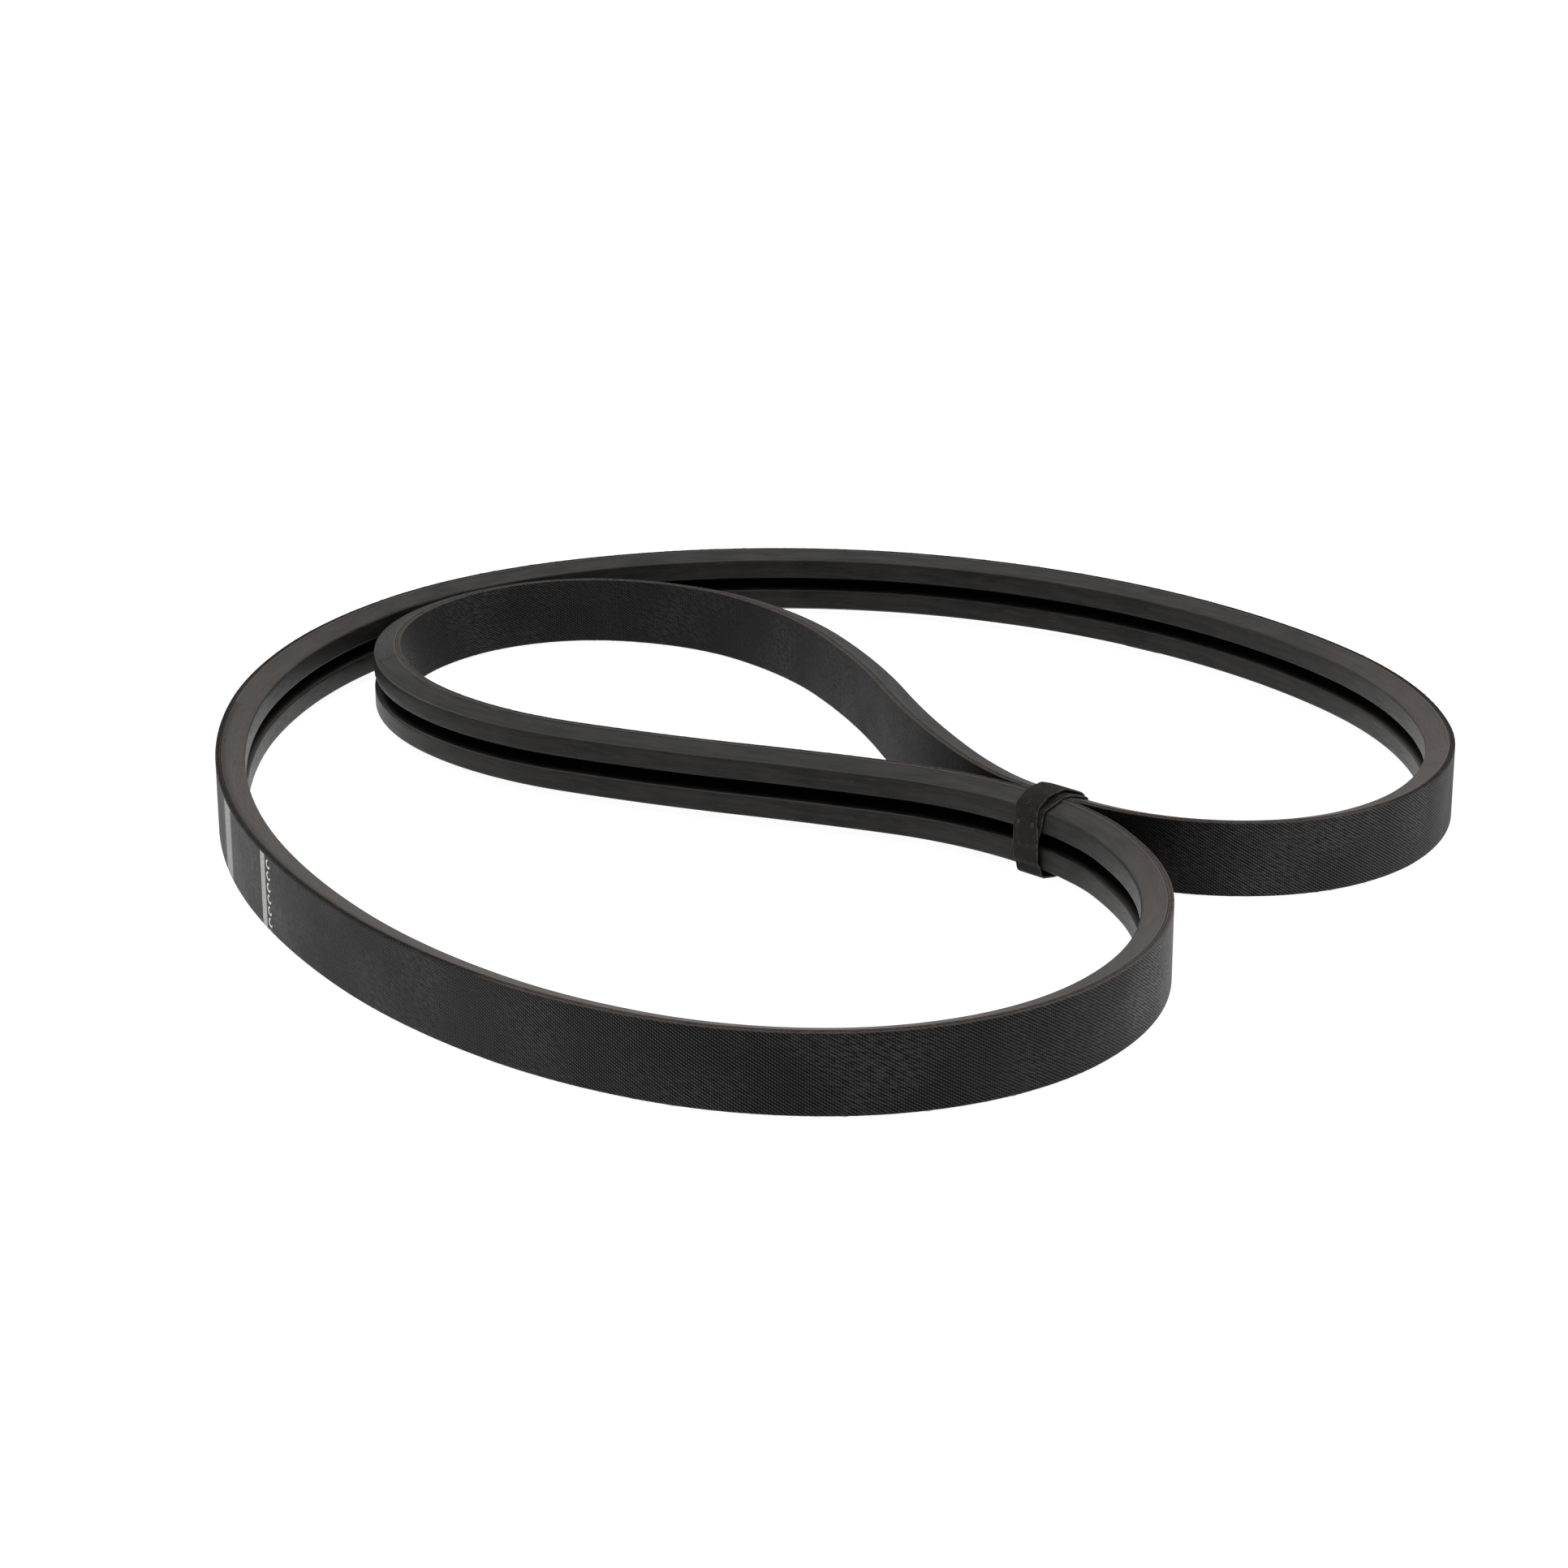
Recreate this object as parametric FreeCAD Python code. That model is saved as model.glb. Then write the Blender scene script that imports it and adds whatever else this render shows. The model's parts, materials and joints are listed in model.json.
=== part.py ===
import FreeCAD, Part
import math
import os

# A two-rib joined V belt, endless, stored folded: it stands on one edge, is pinched back to back
# at one place, and a hook-and-loop strap holds the pinch.
#
# Frame: origin at the bottom centre of the bounding box, x to the right, y to the back, z up.
# Belt sections are drawn in a plane whose first axis runs from the back of the belt towards the
# ribs and whose second axis is the height above the belt's lower edge.

# ---------------------------------------------------------------- driving dimensions, mm and degrees
BELT_WIDTH = 38.0
BELT_THICKNESS = 15.0
RIB_PITCH = 19.05
RIB_FACE_WIDTH = 11.0
RIB_HALF_ANGLE = 17.0
RIB_CORNER_RADIUS = 1.5

OUTER_PLY = 1.0
BAND_RUBBER = 0.8
INNER_PLY = 0.8

JACKET = 0.9
JACKET_BUTT_GAP = 0.1
CUSHION_DEPTH = 1.5
GUM_DEPTH = 1.1
CORD_DIAMETER = 1.2
CORD_PITCH = 1.5
CORDS_PER_RIB = 9

STRAP_WIDTH = 16.0
WEBBING = 1.0
STRAP_CLEARANCE = 0.3
LAYER_GAP = 0.1
RIDGE_RADIUS = 0.4
INNER_END_HEIGHT = 8.5
JOG_START = 5.4
JOG_END = 7.9
JOG_RADIUS = 1.2
TAB_TURN_RADIUS = 1.6
TAB_TURN_DROP = 2.6
TAB_GAP = 0.4
TAB_LENGTH = 24.0
TAB_CORNER = 3.0
PAD_DEPTH = 0.8
PAD_WIDTH = 15.0
PAD_CLEARANCE = 0.3
HOOK_PAD_INSET = 1.0
LOOP_PAD_LOW = 6.5
LOOP_PAD_HIGH = 31.5
STITCH_DIAMETER = 0.6
STITCH_LENGTH = 2.2
STITCH_PITCH = 3.0
STITCH_MARGIN = 2.0

# ---------------------------------------------------------------- route of the belt's back
# Each point is x, y and the heading there. The belt is followed clockwise seen from above, so the
# ribs are on the right. Two tangent arcs join each point to the next.
OUTER_LOOP = [
    (-321.0, 72.5, 88.5),
    (-257.0, 274.5, 54.5),
    (-56.5, 382.0, 4.5),
    (205.5, 279.5, -44.5),
    (321.0, 28.5, -90.5),
    (289.0, -74.5, -125.0),
    (207.5, -124.0, -175.0),
]
INNER_LOOP = [
    (57.5, -5.5, 111.0),
    (-7.5, 200.0, 113.0),
    (-124.0, 310.0, 169.5),
    (-207.0, 282.5, -134.0),
    (-210.0, 98.5, -54.0),
    (-44.0, -1.0, -19.0),
]
FRONT_LOBE = [
    (125.0, -106.5, -57.5),
    (145.0, -156.5, -75.0),
    (110.5, -328.0, -129.5),
    (-12.0, -383.0, 178.5),
    (-155.5, -321.5, 139.0),
    (-280.0, -143.5, 113.0),
]
# Where the two strands lie back to back, each has a short straight run.
PINCH_CENTRE = (105.5, -81.5)
PINCH_HEADING = 135.0
PINCH_RUN = 20.0
PINCH_GAP = 0.4

# ---------------------------------------------------------------- derived sizes
BAND_DEPTH = OUTER_PLY + BAND_RUBBER + INNER_PLY
RIB_DEPTH = BELT_THICKNESS - BAND_DEPTH
RIB_SLOPE = math.tan(math.radians(RIB_HALF_ANGLE))
RIB_CENTRES = [(BELT_WIDTH + side * RIB_PITCH) / 2 for side in (-1, 1)]
EDGE_HEIGHT = WEBBING + STRAP_CLEARANCE
CORE_TOP = BAND_DEPTH + JACKET
CORD_LINE = CORE_TOP + CUSHION_DEPTH + GUM_DEPTH
BASE_TOP = CORD_LINE + GUM_DEPTH
PINCH_REACH = PINCH_GAP / 2 + BELT_THICKNESS
RIDGE_REACH = PINCH_GAP / 2 + BAND_DEPTH
FACE_LOW = RIB_CENTRES[0] - RIB_FACE_WIDTH / 2
FACE_HIGH = RIB_CENTRES[1] + RIB_FACE_WIDTH / 2
FIRST_TURN = STRAP_CLEARANCE + WEBBING / 2
SECOND_TURN = FIRST_TURN + WEBBING + LAYER_GAP
LOOP_PAD_FACE = PINCH_REACH + STRAP_CLEARANCE + WEBBING
HOOK_PAD_FACE = LOOP_PAD_FACE + PAD_DEPTH + PAD_CLEARANCE
TAB_FACE = HOOK_PAD_FACE + PAD_DEPTH
TAB_MIDDLE = TAB_FACE + WEBBING / 2
FULL_TURN = 2 * math.pi
UP = FreeCAD.Vector(0, 0, 1)


# ---------------------------------------------------------------- route
class Span:
    """A stretch of constant curvature: where it starts, its heading, its length and its curvature."""

    def __init__(self, start, heading, length, curvature=0.0):
        self.start = start
        self.heading = heading
        self.length = length
        self.curvature = curvature

    def along(self):
        return FreeCAD.Vector(math.cos(self.heading), math.sin(self.heading), 0)

    def to_ribs(self):
        return FreeCAD.Vector(math.sin(self.heading), -math.cos(self.heading), 0)

    def placement(self):
        """Puts a section at the start of the stretch, standing across the belt."""
        along = self.along()
        ribs = self.to_ribs()
        return FreeCAD.Placement(
            FreeCAD.Matrix(
                ribs.x, 0, -along.x, self.start.x,
                ribs.y, 0, -along.y, self.start.y,
                0, 1, 0, EDGE_HEIGHT,
                0, 0, 0, 1,
            )
        )

    def sweep(self, wire):
        """The faces that a section's outline leaves along the stretch."""
        outline = wire.copy()
        outline.Placement = self.placement()
        if self.curvature == 0:
            return outline.extrude(self.along() * self.length).Faces
        centre = self.start - self.to_ribs() * (1 / self.curvature)
        turn = math.degrees(self.curvature * self.length)
        return outline.revolve(centre, UP, turn).Faces


def heading_vector(heading):
    return FreeCAD.Vector(math.cos(heading), math.sin(heading), 0)


def arc_between(start, heading, end):
    """The one arc that leaves start along the heading and reaches end."""
    chord = end - start
    along = heading_vector(heading)
    half_turn = math.atan2(along.x * chord.y - along.y * chord.x, along.dot(chord))
    length = chord.Length * half_turn / math.sin(half_turn)
    return Span(start, heading, length, 2 * half_turn / length)


def two_arcs(start, heading, end, end_heading):
    """Two arcs tangent to each other that join two points with given headings."""
    leave = heading_vector(heading)
    arrive = heading_vector(end_heading)
    chord = end - start
    both = leave + arrive
    spread = 2 * (1 - leave.dot(arrive))
    if spread < 1e-9:
        reach = chord.dot(chord) / (4 * chord.dot(arrive))
    else:
        reach = (math.sqrt(chord.dot(both) ** 2 + spread * chord.dot(chord)) - chord.dot(both)) / spread
    first_handle = start + leave * reach
    last_handle = end - arrive * reach
    middle = (first_handle + last_handle) * 0.5
    across = last_handle - first_handle
    return [
        arc_between(start, heading, middle),
        arc_between(middle, math.atan2(across.y, across.x), end),
    ]


def pinch_run(heading):
    """The two ends of one strand's straight run, with its back just off the middle of the pinch."""
    along = heading_vector(heading)
    to_ribs = FreeCAD.Vector(along.y, -along.x, 0)
    middle = FreeCAD.Vector(*PINCH_CENTRE, 0) + to_ribs * (PINCH_GAP / 2)
    return [
        (middle - along * (PINCH_RUN / 2), heading),
        (middle + along * (PINCH_RUN / 2), heading),
    ]


def belt_route():
    """The closed chain of spans that the belt's back follows."""
    def stations(points):
        return [(FreeCAD.Vector(x, y, 0), math.radians(heading)) for x, y, heading in points]

    rear = pinch_run(math.radians(PINCH_HEADING))
    front = pinch_run(math.radians(PINCH_HEADING - 180))
    runs = [rear, front]
    chain = stations(OUTER_LOOP) + rear + stations(INNER_LOOP) + front + stations(FRONT_LOBE)
    spans = []
    for here, there in zip(chain, chain[1:] + chain[:1]):
        if [here, there] in runs:
            spans.append(Span(here[0], here[1], PINCH_RUN))
        else:
            spans += two_arcs(*here, *there)
    return spans


ROUTE = belt_route()
ROUTE_LENGTH = sum(span.length for span in ROUTE)


# ---------------------------------------------------------------- outlines and solids
def point(a, b):
    return FreeCAD.Vector(a, b, 0)


def corner_cut(before, corner, after, radius):
    """Where a rounded corner starts and ends, and the middle of its arc."""
    back = (before - corner).normalize()
    ahead = (after - corner).normalize()
    half = back.getAngle(ahead) / 2
    run = radius / math.tan(half)
    bisector = (back + ahead).normalize()
    middle = corner + bisector * (radius / math.sin(half) - radius)
    return corner + back * run, middle, corner + ahead * run


def rounded_wire(corners):
    """A closed outline through corners (a, b, radius), with an arc at each one that has a radius."""
    points = [point(a, b) for a, b, radius in corners]
    count = len(points)
    cuts = []
    for index, (a, b, radius) in enumerate(corners):
        here = points[index]
        if radius == 0:
            cuts.append((here, None, here))
        else:
            cuts.append(corner_cut(points[index - 1], here, points[(index + 1) % count], radius))
    edges = []
    for index in range(count):
        start, middle, end = cuts[index]
        if middle is not None:
            edges.append(Part.Arc(start, middle, end).toShape())
        edges.append(Part.LineSegment(end, cuts[(index + 1) % count][0]).toShape())
    return Part.Wire(edges)


def checked(solid, name, volume):
    """The solid, once it is valid and holds the volume that its section and its route give."""
    if not solid.isValid() or not solid.isClosed():
        raise ValueError(name + " isn't a valid closed solid")
    if abs(solid.Volume - volume) > 1e-3 * volume:
        raise ValueError(name + " has a volume of " + str(solid.Volume) + ", not " + str(volume))
    return solid


def swept(name, wire):
    """An endless solid: the section carried round the whole route."""
    faces = []
    for span in ROUTE:
        faces += span.sweep(wire)
    skin = Part.Compound(faces)
    skin.sewShape(1e-4)
    solid = Part.Solid(Part.Shell(skin.Faces))
    if solid.Volume < 0:
        solid.reverse()
    section = Part.Face(wire)
    length = ROUTE_LENGTH - FULL_TURN * section.CenterOfMass.x
    return checked(solid, name, section.Area * length)


def rectangle(depth_from, depth_to):
    """The whole width of the belt between two depths."""
    low = 0.0
    high = BELT_WIDTH
    return rounded_wire([(depth_from, low, 0), (depth_to, low, 0), (depth_to, high, 0), (depth_from, high, 0)])


# ---------------------------------------------------------------- tie band
def tie_band():
    rubber_end = OUTER_PLY + BAND_RUBBER
    return {
        "tie_band_outer_fabric": swept("outer ply", rectangle(0, OUTER_PLY)),
        "tie_band_rubber": swept("band rubber", rectangle(OUTER_PLY, rubber_end)),
        "tie_band_inner_fabric": swept("inner ply", rectangle(rubber_end, BAND_DEPTH)),
    }


# ---------------------------------------------------------------- ribs
def rib_half_width(depth):
    """Half the width of a rib, jacket included, at a depth below the belt's back."""
    return RIB_FACE_WIDTH / 2 + (BELT_THICKNESS - depth) * RIB_SLOPE


def core_half_width(depth):
    """Half the width of the rubber core inside the jacket at a depth below the belt's back."""
    return rib_half_width(depth) - JACKET / math.cos(math.radians(RIB_HALF_ANGLE))


def jacket_outline(centre):
    """The fabric goes round the whole core and its two edges butt under the tie band."""
    face = BELT_THICKNESS
    inner_face = face - JACKET
    butt = JACKET_BUTT_GAP / 2
    inner_radius = RIB_CORNER_RADIUS - JACKET
    outside = [
        (BAND_DEPTH, centre + butt, 0),
        (BAND_DEPTH, centre + rib_half_width(BAND_DEPTH), 0),
        (face, centre + rib_half_width(face), RIB_CORNER_RADIUS),
        (face, centre - rib_half_width(face), RIB_CORNER_RADIUS),
        (BAND_DEPTH, centre - rib_half_width(BAND_DEPTH), 0),
        (BAND_DEPTH, centre - butt, 0),
    ]
    inside = [
        (CORE_TOP, centre - butt, 0),
        (CORE_TOP, centre - core_half_width(CORE_TOP), 0),
        (inner_face, centre - core_half_width(inner_face), inner_radius),
        (inner_face, centre + core_half_width(inner_face), inner_radius),
        (CORE_TOP, centre + core_half_width(CORE_TOP), 0),
        (CORE_TOP, centre + butt, 0),
    ]
    return rounded_wire(outside + inside)


def cord_heights(centre):
    first = centre - CORD_PITCH * (CORDS_PER_RIB - 1) / 2
    return [first + CORD_PITCH * number for number in range(CORDS_PER_RIB)]


def gum_outline(centre, far_depth):
    """One half of the gum round the cords: half-round channels at the cord line, flat at far_depth."""
    radius = CORD_DIAMETER / 2
    bulge = math.copysign(radius, far_depth - CORD_LINE)
    edge = core_half_width(CORD_LINE)
    far_edge = core_half_width(far_depth)
    here = point(CORD_LINE, centre - edge)
    edges = []
    for height in cord_heights(centre):
        start = point(CORD_LINE, height - radius)
        end = point(CORD_LINE, height + radius)
        edges.append(Part.LineSegment(here, start).toShape())
        edges.append(Part.Arc(start, point(CORD_LINE + bulge, height), end).toShape())
        here = end
    for there in (
        point(CORD_LINE, centre + edge),
        point(far_depth, centre + far_edge),
        point(far_depth, centre - far_edge),
        point(CORD_LINE, centre - edge),
    ):
        edges.append(Part.LineSegment(here, there).toShape())
        here = there
    return Part.Wire(edges)


def cord_outline(height):
    """A cord's round section, as two half circles."""
    radius = CORD_DIAMETER / 2
    low = point(CORD_LINE, height - radius)
    high = point(CORD_LINE, height + radius)
    return Part.Wire(
        [
            Part.Arc(low, point(CORD_LINE + radius, height), high).toShape(),
            Part.Arc(high, point(CORD_LINE - radius, height), low).toShape(),
        ]
    )


def slab_outline(centre, near, far, far_radius=0.0):
    """A layer of the core between two depths."""
    return rounded_wire(
        [
            (near, centre - core_half_width(near), 0),
            (far, centre - core_half_width(far), far_radius),
            (far, centre + core_half_width(far), far_radius),
            (near, centre + core_half_width(near), 0),
        ]
    )


def rib(name, centre):
    inner_face = BELT_THICKNESS - JACKET
    cushion_end = CORE_TOP + CUSHION_DEPTH
    pieces = {
        name + "_fabric_jacket": swept(name + " jacket", jacket_outline(centre)),
        name + "_cushion_rubber": swept(name + " cushion", slab_outline(centre, CORE_TOP, cushion_end)),
        name + "_upper_cord_gum": swept(name + " upper gum", gum_outline(centre, cushion_end)),
        name + "_lower_cord_gum": swept(name + " lower gum", gum_outline(centre, BASE_TOP)),
        name + "_base_rubber": swept(
            name + " base",
            slab_outline(centre, BASE_TOP, inner_face, RIB_CORNER_RADIUS - JACKET),
        ),
    }
    for number, height in enumerate(cord_heights(centre), start=1):
        pieces[name + "_tension_cord_" + str(number)] = swept(name + " cord", cord_outline(height))
    return pieces


# ---------------------------------------------------------------- strap
# Strap outlines are drawn across the pinch: the first axis runs from between the two strands
# towards the ribs of the front strand, the second is the height above the belt's lower edge.
def strap_span():
    """The strap's own stretch of the pinch, run along the front strand."""
    heading = math.radians(PINCH_HEADING - 180)
    middle = FreeCAD.Vector(*PINCH_CENTRE, 0)
    return Span(middle - heading_vector(heading) * (STRAP_WIDTH / 2), heading, STRAP_WIDTH)


def pinch_corners(grow):
    """The eight corners round both strands, all sides moved out by grow: (across, height, radius)."""
    slope = (BELT_WIDTH - FACE_HIGH) / (PINCH_REACH - RIDGE_REACH)
    lean = math.hypot(1, slope)
    reach = PINCH_REACH + grow
    ridge_height = BELT_WIDTH + grow
    flank_rise = grow * lean
    face_height = FACE_HIGH + flank_rise - grow * slope
    ridge_reach = RIDGE_REACH + (flank_rise - grow) / slope
    face_radius = RIB_CORNER_RADIUS + grow
    ridge_radius = RIDGE_RADIUS + grow
    upper = [
        (reach, face_height, face_radius),
        (ridge_reach, ridge_height, ridge_radius),
        (-ridge_reach, ridge_height, ridge_radius),
        (-reach, face_height, face_radius),
    ]
    lower = [(-across, BELT_WIDTH - height, radius) for across, height, radius in upper]
    return upper + lower


def strap_path():
    """The webbing's middle line: a full turn from low on the front, then a second turn over it."""
    first = pinch_corners(FIRST_TURN)
    second = pinch_corners(SECOND_TURN)
    front = PINCH_REACH + FIRST_TURN
    front_over = PINCH_REACH + SECOND_TURN
    ridge = second[2]
    slope = (ridge[1] - second[3][1]) / (ridge[0] - second[3][0])
    turn_height = ridge[1] - slope * (ridge[0] + TAB_MIDDLE)
    return (
        [(front, INNER_END_HEIGHT, 0)]
        + first
        + [(front, JOG_START, JOG_RADIUS), (front_over, JOG_END, JOG_RADIUS)]
        + second[:3]
        + [(-TAB_MIDDLE, turn_height, TAB_TURN_RADIUS), (-TAB_MIDDLE, turn_height - TAB_TURN_DROP, 0)]
    )


def ribbon(path, thickness):
    """The closed outline of a band of even thickness that follows a path of rounded corners."""
    points = [point(a, b) for a, b, radius in path]
    last = len(points) - 1
    outside = []
    inside = []
    for index, (a, b, radius) in enumerate(path):
        here = points[index]
        arrive = (here - points[index - 1]) if index > 0 else (points[1] - here)
        leave = (points[index + 1] - here) if index < last else arrive
        arrive = arrive.normalize()
        leave = leave.normalize()
        side = point(arrive.y, -arrive.x)
        next_side = point(leave.y, -leave.x)
        miter = (side + next_side) * (thickness / 2 / (1 + side.dot(next_side)))
        turn = arrive.x * leave.y - arrive.y * leave.x
        change = math.copysign(thickness / 2, turn) if radius > 0 else 0
        far = here + miter
        near = here - miter
        outside.append((far.x, far.y, radius + change))
        inside.append((near.x, near.y, radius - change))
    return rounded_wire(outside + inside[::-1])


def strap_webbing():
    span = strap_span()
    face = Part.Face(ribbon(strap_path(), WEBBING))
    area = face.Area
    face.Placement = span.placement()
    return checked(face.extrude(span.along() * span.length), "webbing", area * span.length)


def rear_plate(inner_face, depth, low, high, width, corner=0.0):
    """A flat piece on the rear of the strap, with its lower corners rounded."""
    half = width / 2
    wire = rounded_wire([(-half, low, corner), (half, low, corner), (half, high, 0), (-half, high, 0)])
    face = Part.Face(wire)
    area = face.Area
    face.Placement = rear_placement(inner_face + depth)
    outward = strap_span().to_ribs()
    return checked(face.extrude(outward * depth), "rear plate", area * depth)


def rear_placement(distance):
    """Puts a drawing of the strap's rear, along and up, at a distance behind the pinch's middle."""
    span = strap_span()
    along = span.along()
    front = span.to_ribs()
    return FreeCAD.Placement(
        FreeCAD.Matrix(
            along.x, 0, front.x, PINCH_CENTRE[0] - front.x * distance,
            along.y, 0, front.y, PINCH_CENTRE[1] - front.y * distance,
            0, 1, 0, EDGE_HEIGHT,
            0, 0, 0, 1,
        )
    )


def stitch(along, height, upright):
    """One visible stitch, a short round thread half sunk in the tab's outer face."""
    reach = STITCH_LENGTH / 2
    radius = STITCH_DIAMETER / 2
    if upright:
        start = FreeCAD.Vector(along, height - reach, 0)
        direction = FreeCAD.Vector(0, 1, 0)
    else:
        start = FreeCAD.Vector(along - reach, height, 0)
        direction = FreeCAD.Vector(1, 0, 0)
    return Part.makeCylinder(radius, STITCH_LENGTH, start, direction)


def tab_stitching(low, high):
    """A box of stitches that holds the hook pad to the tab."""
    side = PAD_WIDTH / 2 - STITCH_MARGIN
    bottom = low + STITCH_MARGIN
    top = high - STITCH_MARGIN
    upright_count = int((top - bottom) / STITCH_PITCH)
    level_count = int(2 * side / STITCH_PITCH)
    upright_step = (top - bottom) / upright_count
    level_step = 2 * side / level_count
    stitches = []
    for column in (-side, side):
        for number in range(upright_count):
            stitches.append(stitch(column, bottom + upright_step * (number + 0.5), True))
    for row in (bottom, top):
        for number in range(level_count):
            stitches.append(stitch(-side + level_step * (number + 0.5), row, False))
    group = Part.Compound(stitches)
    group.Placement = rear_placement(TAB_FACE + WEBBING)
    return group


def strap():
    webbing_end = strap_path()[-1][1]
    tab_high = webbing_end - TAB_GAP
    tab_low = webbing_end - TAB_LENGTH
    pad_low = tab_low + HOOK_PAD_INSET
    pad_high = tab_high - HOOK_PAD_INSET
    return {
        "strap_webbing": strap_webbing(),
        "strap_loop_pad": rear_plate(LOOP_PAD_FACE, PAD_DEPTH, LOOP_PAD_LOW, LOOP_PAD_HIGH, PAD_WIDTH),
        "strap_end_tab": rear_plate(TAB_FACE, WEBBING, tab_low, tab_high, STRAP_WIDTH, TAB_CORNER),
        "strap_hook_pad": rear_plate(HOOK_PAD_FACE, PAD_DEPTH, pad_low, pad_high, PAD_WIDTH, TAB_CORNER),
        "strap_tab_stitching": tab_stitching(pad_low, pad_high),
    }


# ---------------------------------------------------------------- build
def build():
    nodes = dict(tie_band())
    nodes.update(rib("lower_rib", RIB_CENTRES[0]))
    nodes.update(rib("upper_rib", RIB_CENTRES[1]))
    nodes.update(strap())
    return nodes


os.makedirs("parts", exist_ok=True)
for node_name, shape in build().items():
    shape.exportStep("parts/" + node_name + ".step")
    print(node_name, len(shape.Faces), round(shape.Volume / 1000, 1))
print("belt outside length", round(ROUTE_LENGTH, 1))
hinge_height = strap_path()[-1][1] - TAB_GAP / 2
print("tab hinge", rear_placement(TAB_FACE + WEBBING).multVec(point(0, hinge_height)))
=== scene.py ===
import json
import math

import bpy
import numpy as np
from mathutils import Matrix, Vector


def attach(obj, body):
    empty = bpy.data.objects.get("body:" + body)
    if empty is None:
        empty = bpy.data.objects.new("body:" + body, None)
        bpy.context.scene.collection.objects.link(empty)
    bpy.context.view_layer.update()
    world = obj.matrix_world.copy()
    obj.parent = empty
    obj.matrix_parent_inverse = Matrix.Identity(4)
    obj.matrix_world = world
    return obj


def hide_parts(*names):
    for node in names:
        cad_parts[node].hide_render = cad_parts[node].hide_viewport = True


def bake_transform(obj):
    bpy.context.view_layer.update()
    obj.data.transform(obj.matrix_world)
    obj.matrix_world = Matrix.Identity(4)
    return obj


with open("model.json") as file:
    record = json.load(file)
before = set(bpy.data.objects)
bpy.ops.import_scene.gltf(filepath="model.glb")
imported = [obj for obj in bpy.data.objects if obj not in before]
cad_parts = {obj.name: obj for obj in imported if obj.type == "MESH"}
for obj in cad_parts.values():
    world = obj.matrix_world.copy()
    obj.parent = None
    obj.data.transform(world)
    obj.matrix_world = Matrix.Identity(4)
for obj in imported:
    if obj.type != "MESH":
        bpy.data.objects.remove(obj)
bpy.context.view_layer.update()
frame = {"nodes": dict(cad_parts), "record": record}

# Looks of a two-rib joined V belt that stands folded on edge, with a webbing strap round its pinch.
# Lengths are in metres, heights of belt sections are above the belt's lower edge, and depths are
# from the back of the belt towards its ribs.

# ---- sizes shared with the CAD model
MM = 0.001
BELT_WIDTH = 38 * MM
BELT_THICKNESS = 15 * MM
RIB_PITCH = 19.05 * MM
RIB_FACE_WIDTH = 11 * MM
RIB_SLOPE = math.tan(math.radians(17))
RIB_CORNER_RADIUS = 1.5 * MM
RIB_CENTRES = {"lower_rib": (BELT_WIDTH - RIB_PITCH) / 2, "upper_rib": (BELT_WIDTH + RIB_PITCH) / 2}
OUTER_PLY = 1.0 * MM
BAND_RUBBER = 0.8 * MM
INNER_PLY = 0.8 * MM
BAND_DEPTH = OUTER_PLY + BAND_RUBBER + INNER_PLY
JACKET = 0.9 * MM

STRAP_WIDTH = 16 * MM
WEBBING = 1.0 * MM
STRAP_CLEARANCE = 0.3 * MM
LAYER_GAP = 0.1 * MM
RIDGE_RADIUS = 0.4 * MM
INNER_END_HEIGHT = 8.5 * MM
JOG_START = 5.4 * MM
JOG_END = 7.9 * MM
JOG_RADIUS = 1.2 * MM
TAB_TURN_DROP = 2.6 * MM
TAB_GAP = 0.4 * MM
TAB_LENGTH = 24 * MM
TAB_CORNER = 3 * MM
PAD_DEPTH = 0.8 * MM
PAD_WIDTH = 15 * MM
PAD_CLEARANCE = 0.3 * MM
HOOK_PAD_INSET = 1 * MM
LOOP_PAD_LOW = 6.5 * MM
LOOP_PAD_HIGH = 31.5 * MM
STITCH_LENGTH = 2.2 * MM
STITCH_PITCH = 3.0 * MM
STITCH_MARGIN = 2.0 * MM
STITCH_SAG = 0.24 * MM
STRAND_OFFSET = 0.11 * MM
STRAND_RADIUS = 0.15 * MM
EDGE_HEIGHT = WEBBING + STRAP_CLEARANCE

# The belt's back, clockwise from above: x, y and the heading there in degrees. Two tangent arcs
# join each point to the next.
OUTER_LOOP = [
    (-0.3210, 0.0725, 88.5),
    (-0.2570, 0.2745, 54.5),
    (-0.0565, 0.3820, 4.5),
    (0.2055, 0.2795, -44.5),
    (0.3210, 0.0285, -90.5),
    (0.2890, -0.0745, -125.0),
    (0.2075, -0.1240, -175.0),
]
INNER_LOOP = [
    (0.0575, -0.0055, 111.0),
    (-0.0075, 0.2000, 113.0),
    (-0.1240, 0.3100, 169.5),
    (-0.2070, 0.2825, -134.0),
    (-0.2100, 0.0985, -54.0),
    (-0.0440, -0.0010, -19.0),
]
FRONT_LOBE = [
    (0.1250, -0.1065, -57.5),
    (0.1450, -0.1565, -75.0),
    (0.1105, -0.3280, -129.5),
    (-0.0120, -0.3830, 178.5),
    (-0.1555, -0.3215, 139.0),
    (-0.2800, -0.1435, 113.0),
]
PINCH_CENTRE = np.array([0.1055, -0.0815])
PINCH_HEADING = math.radians(135)
PINCH_RUN = 20 * MM
PINCH_GAP = 0.4 * MM

# ---- sizes of the looks
STATION_STEP = 2.0 * MM
ARC_STEPS = 5
SHARP_ANGLE = 42
THREAD_SHARP_ANGLE = 80

TWILL_PITCH = 1.3 * MM
TWILL_ANGLE = 32
WEFT_PITCH = 1.15 * MM
RIPPLE_ANGLE = 20
# Printed stripes across the back: distance along the belt, width, how soft the edges are, ink.
STRIPES = [
    (3.3078, 23 * MM, 5 * MM, 0.30),
    (3.2412, 7.4 * MM, 0.6 * MM, 0.42),
]
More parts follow.
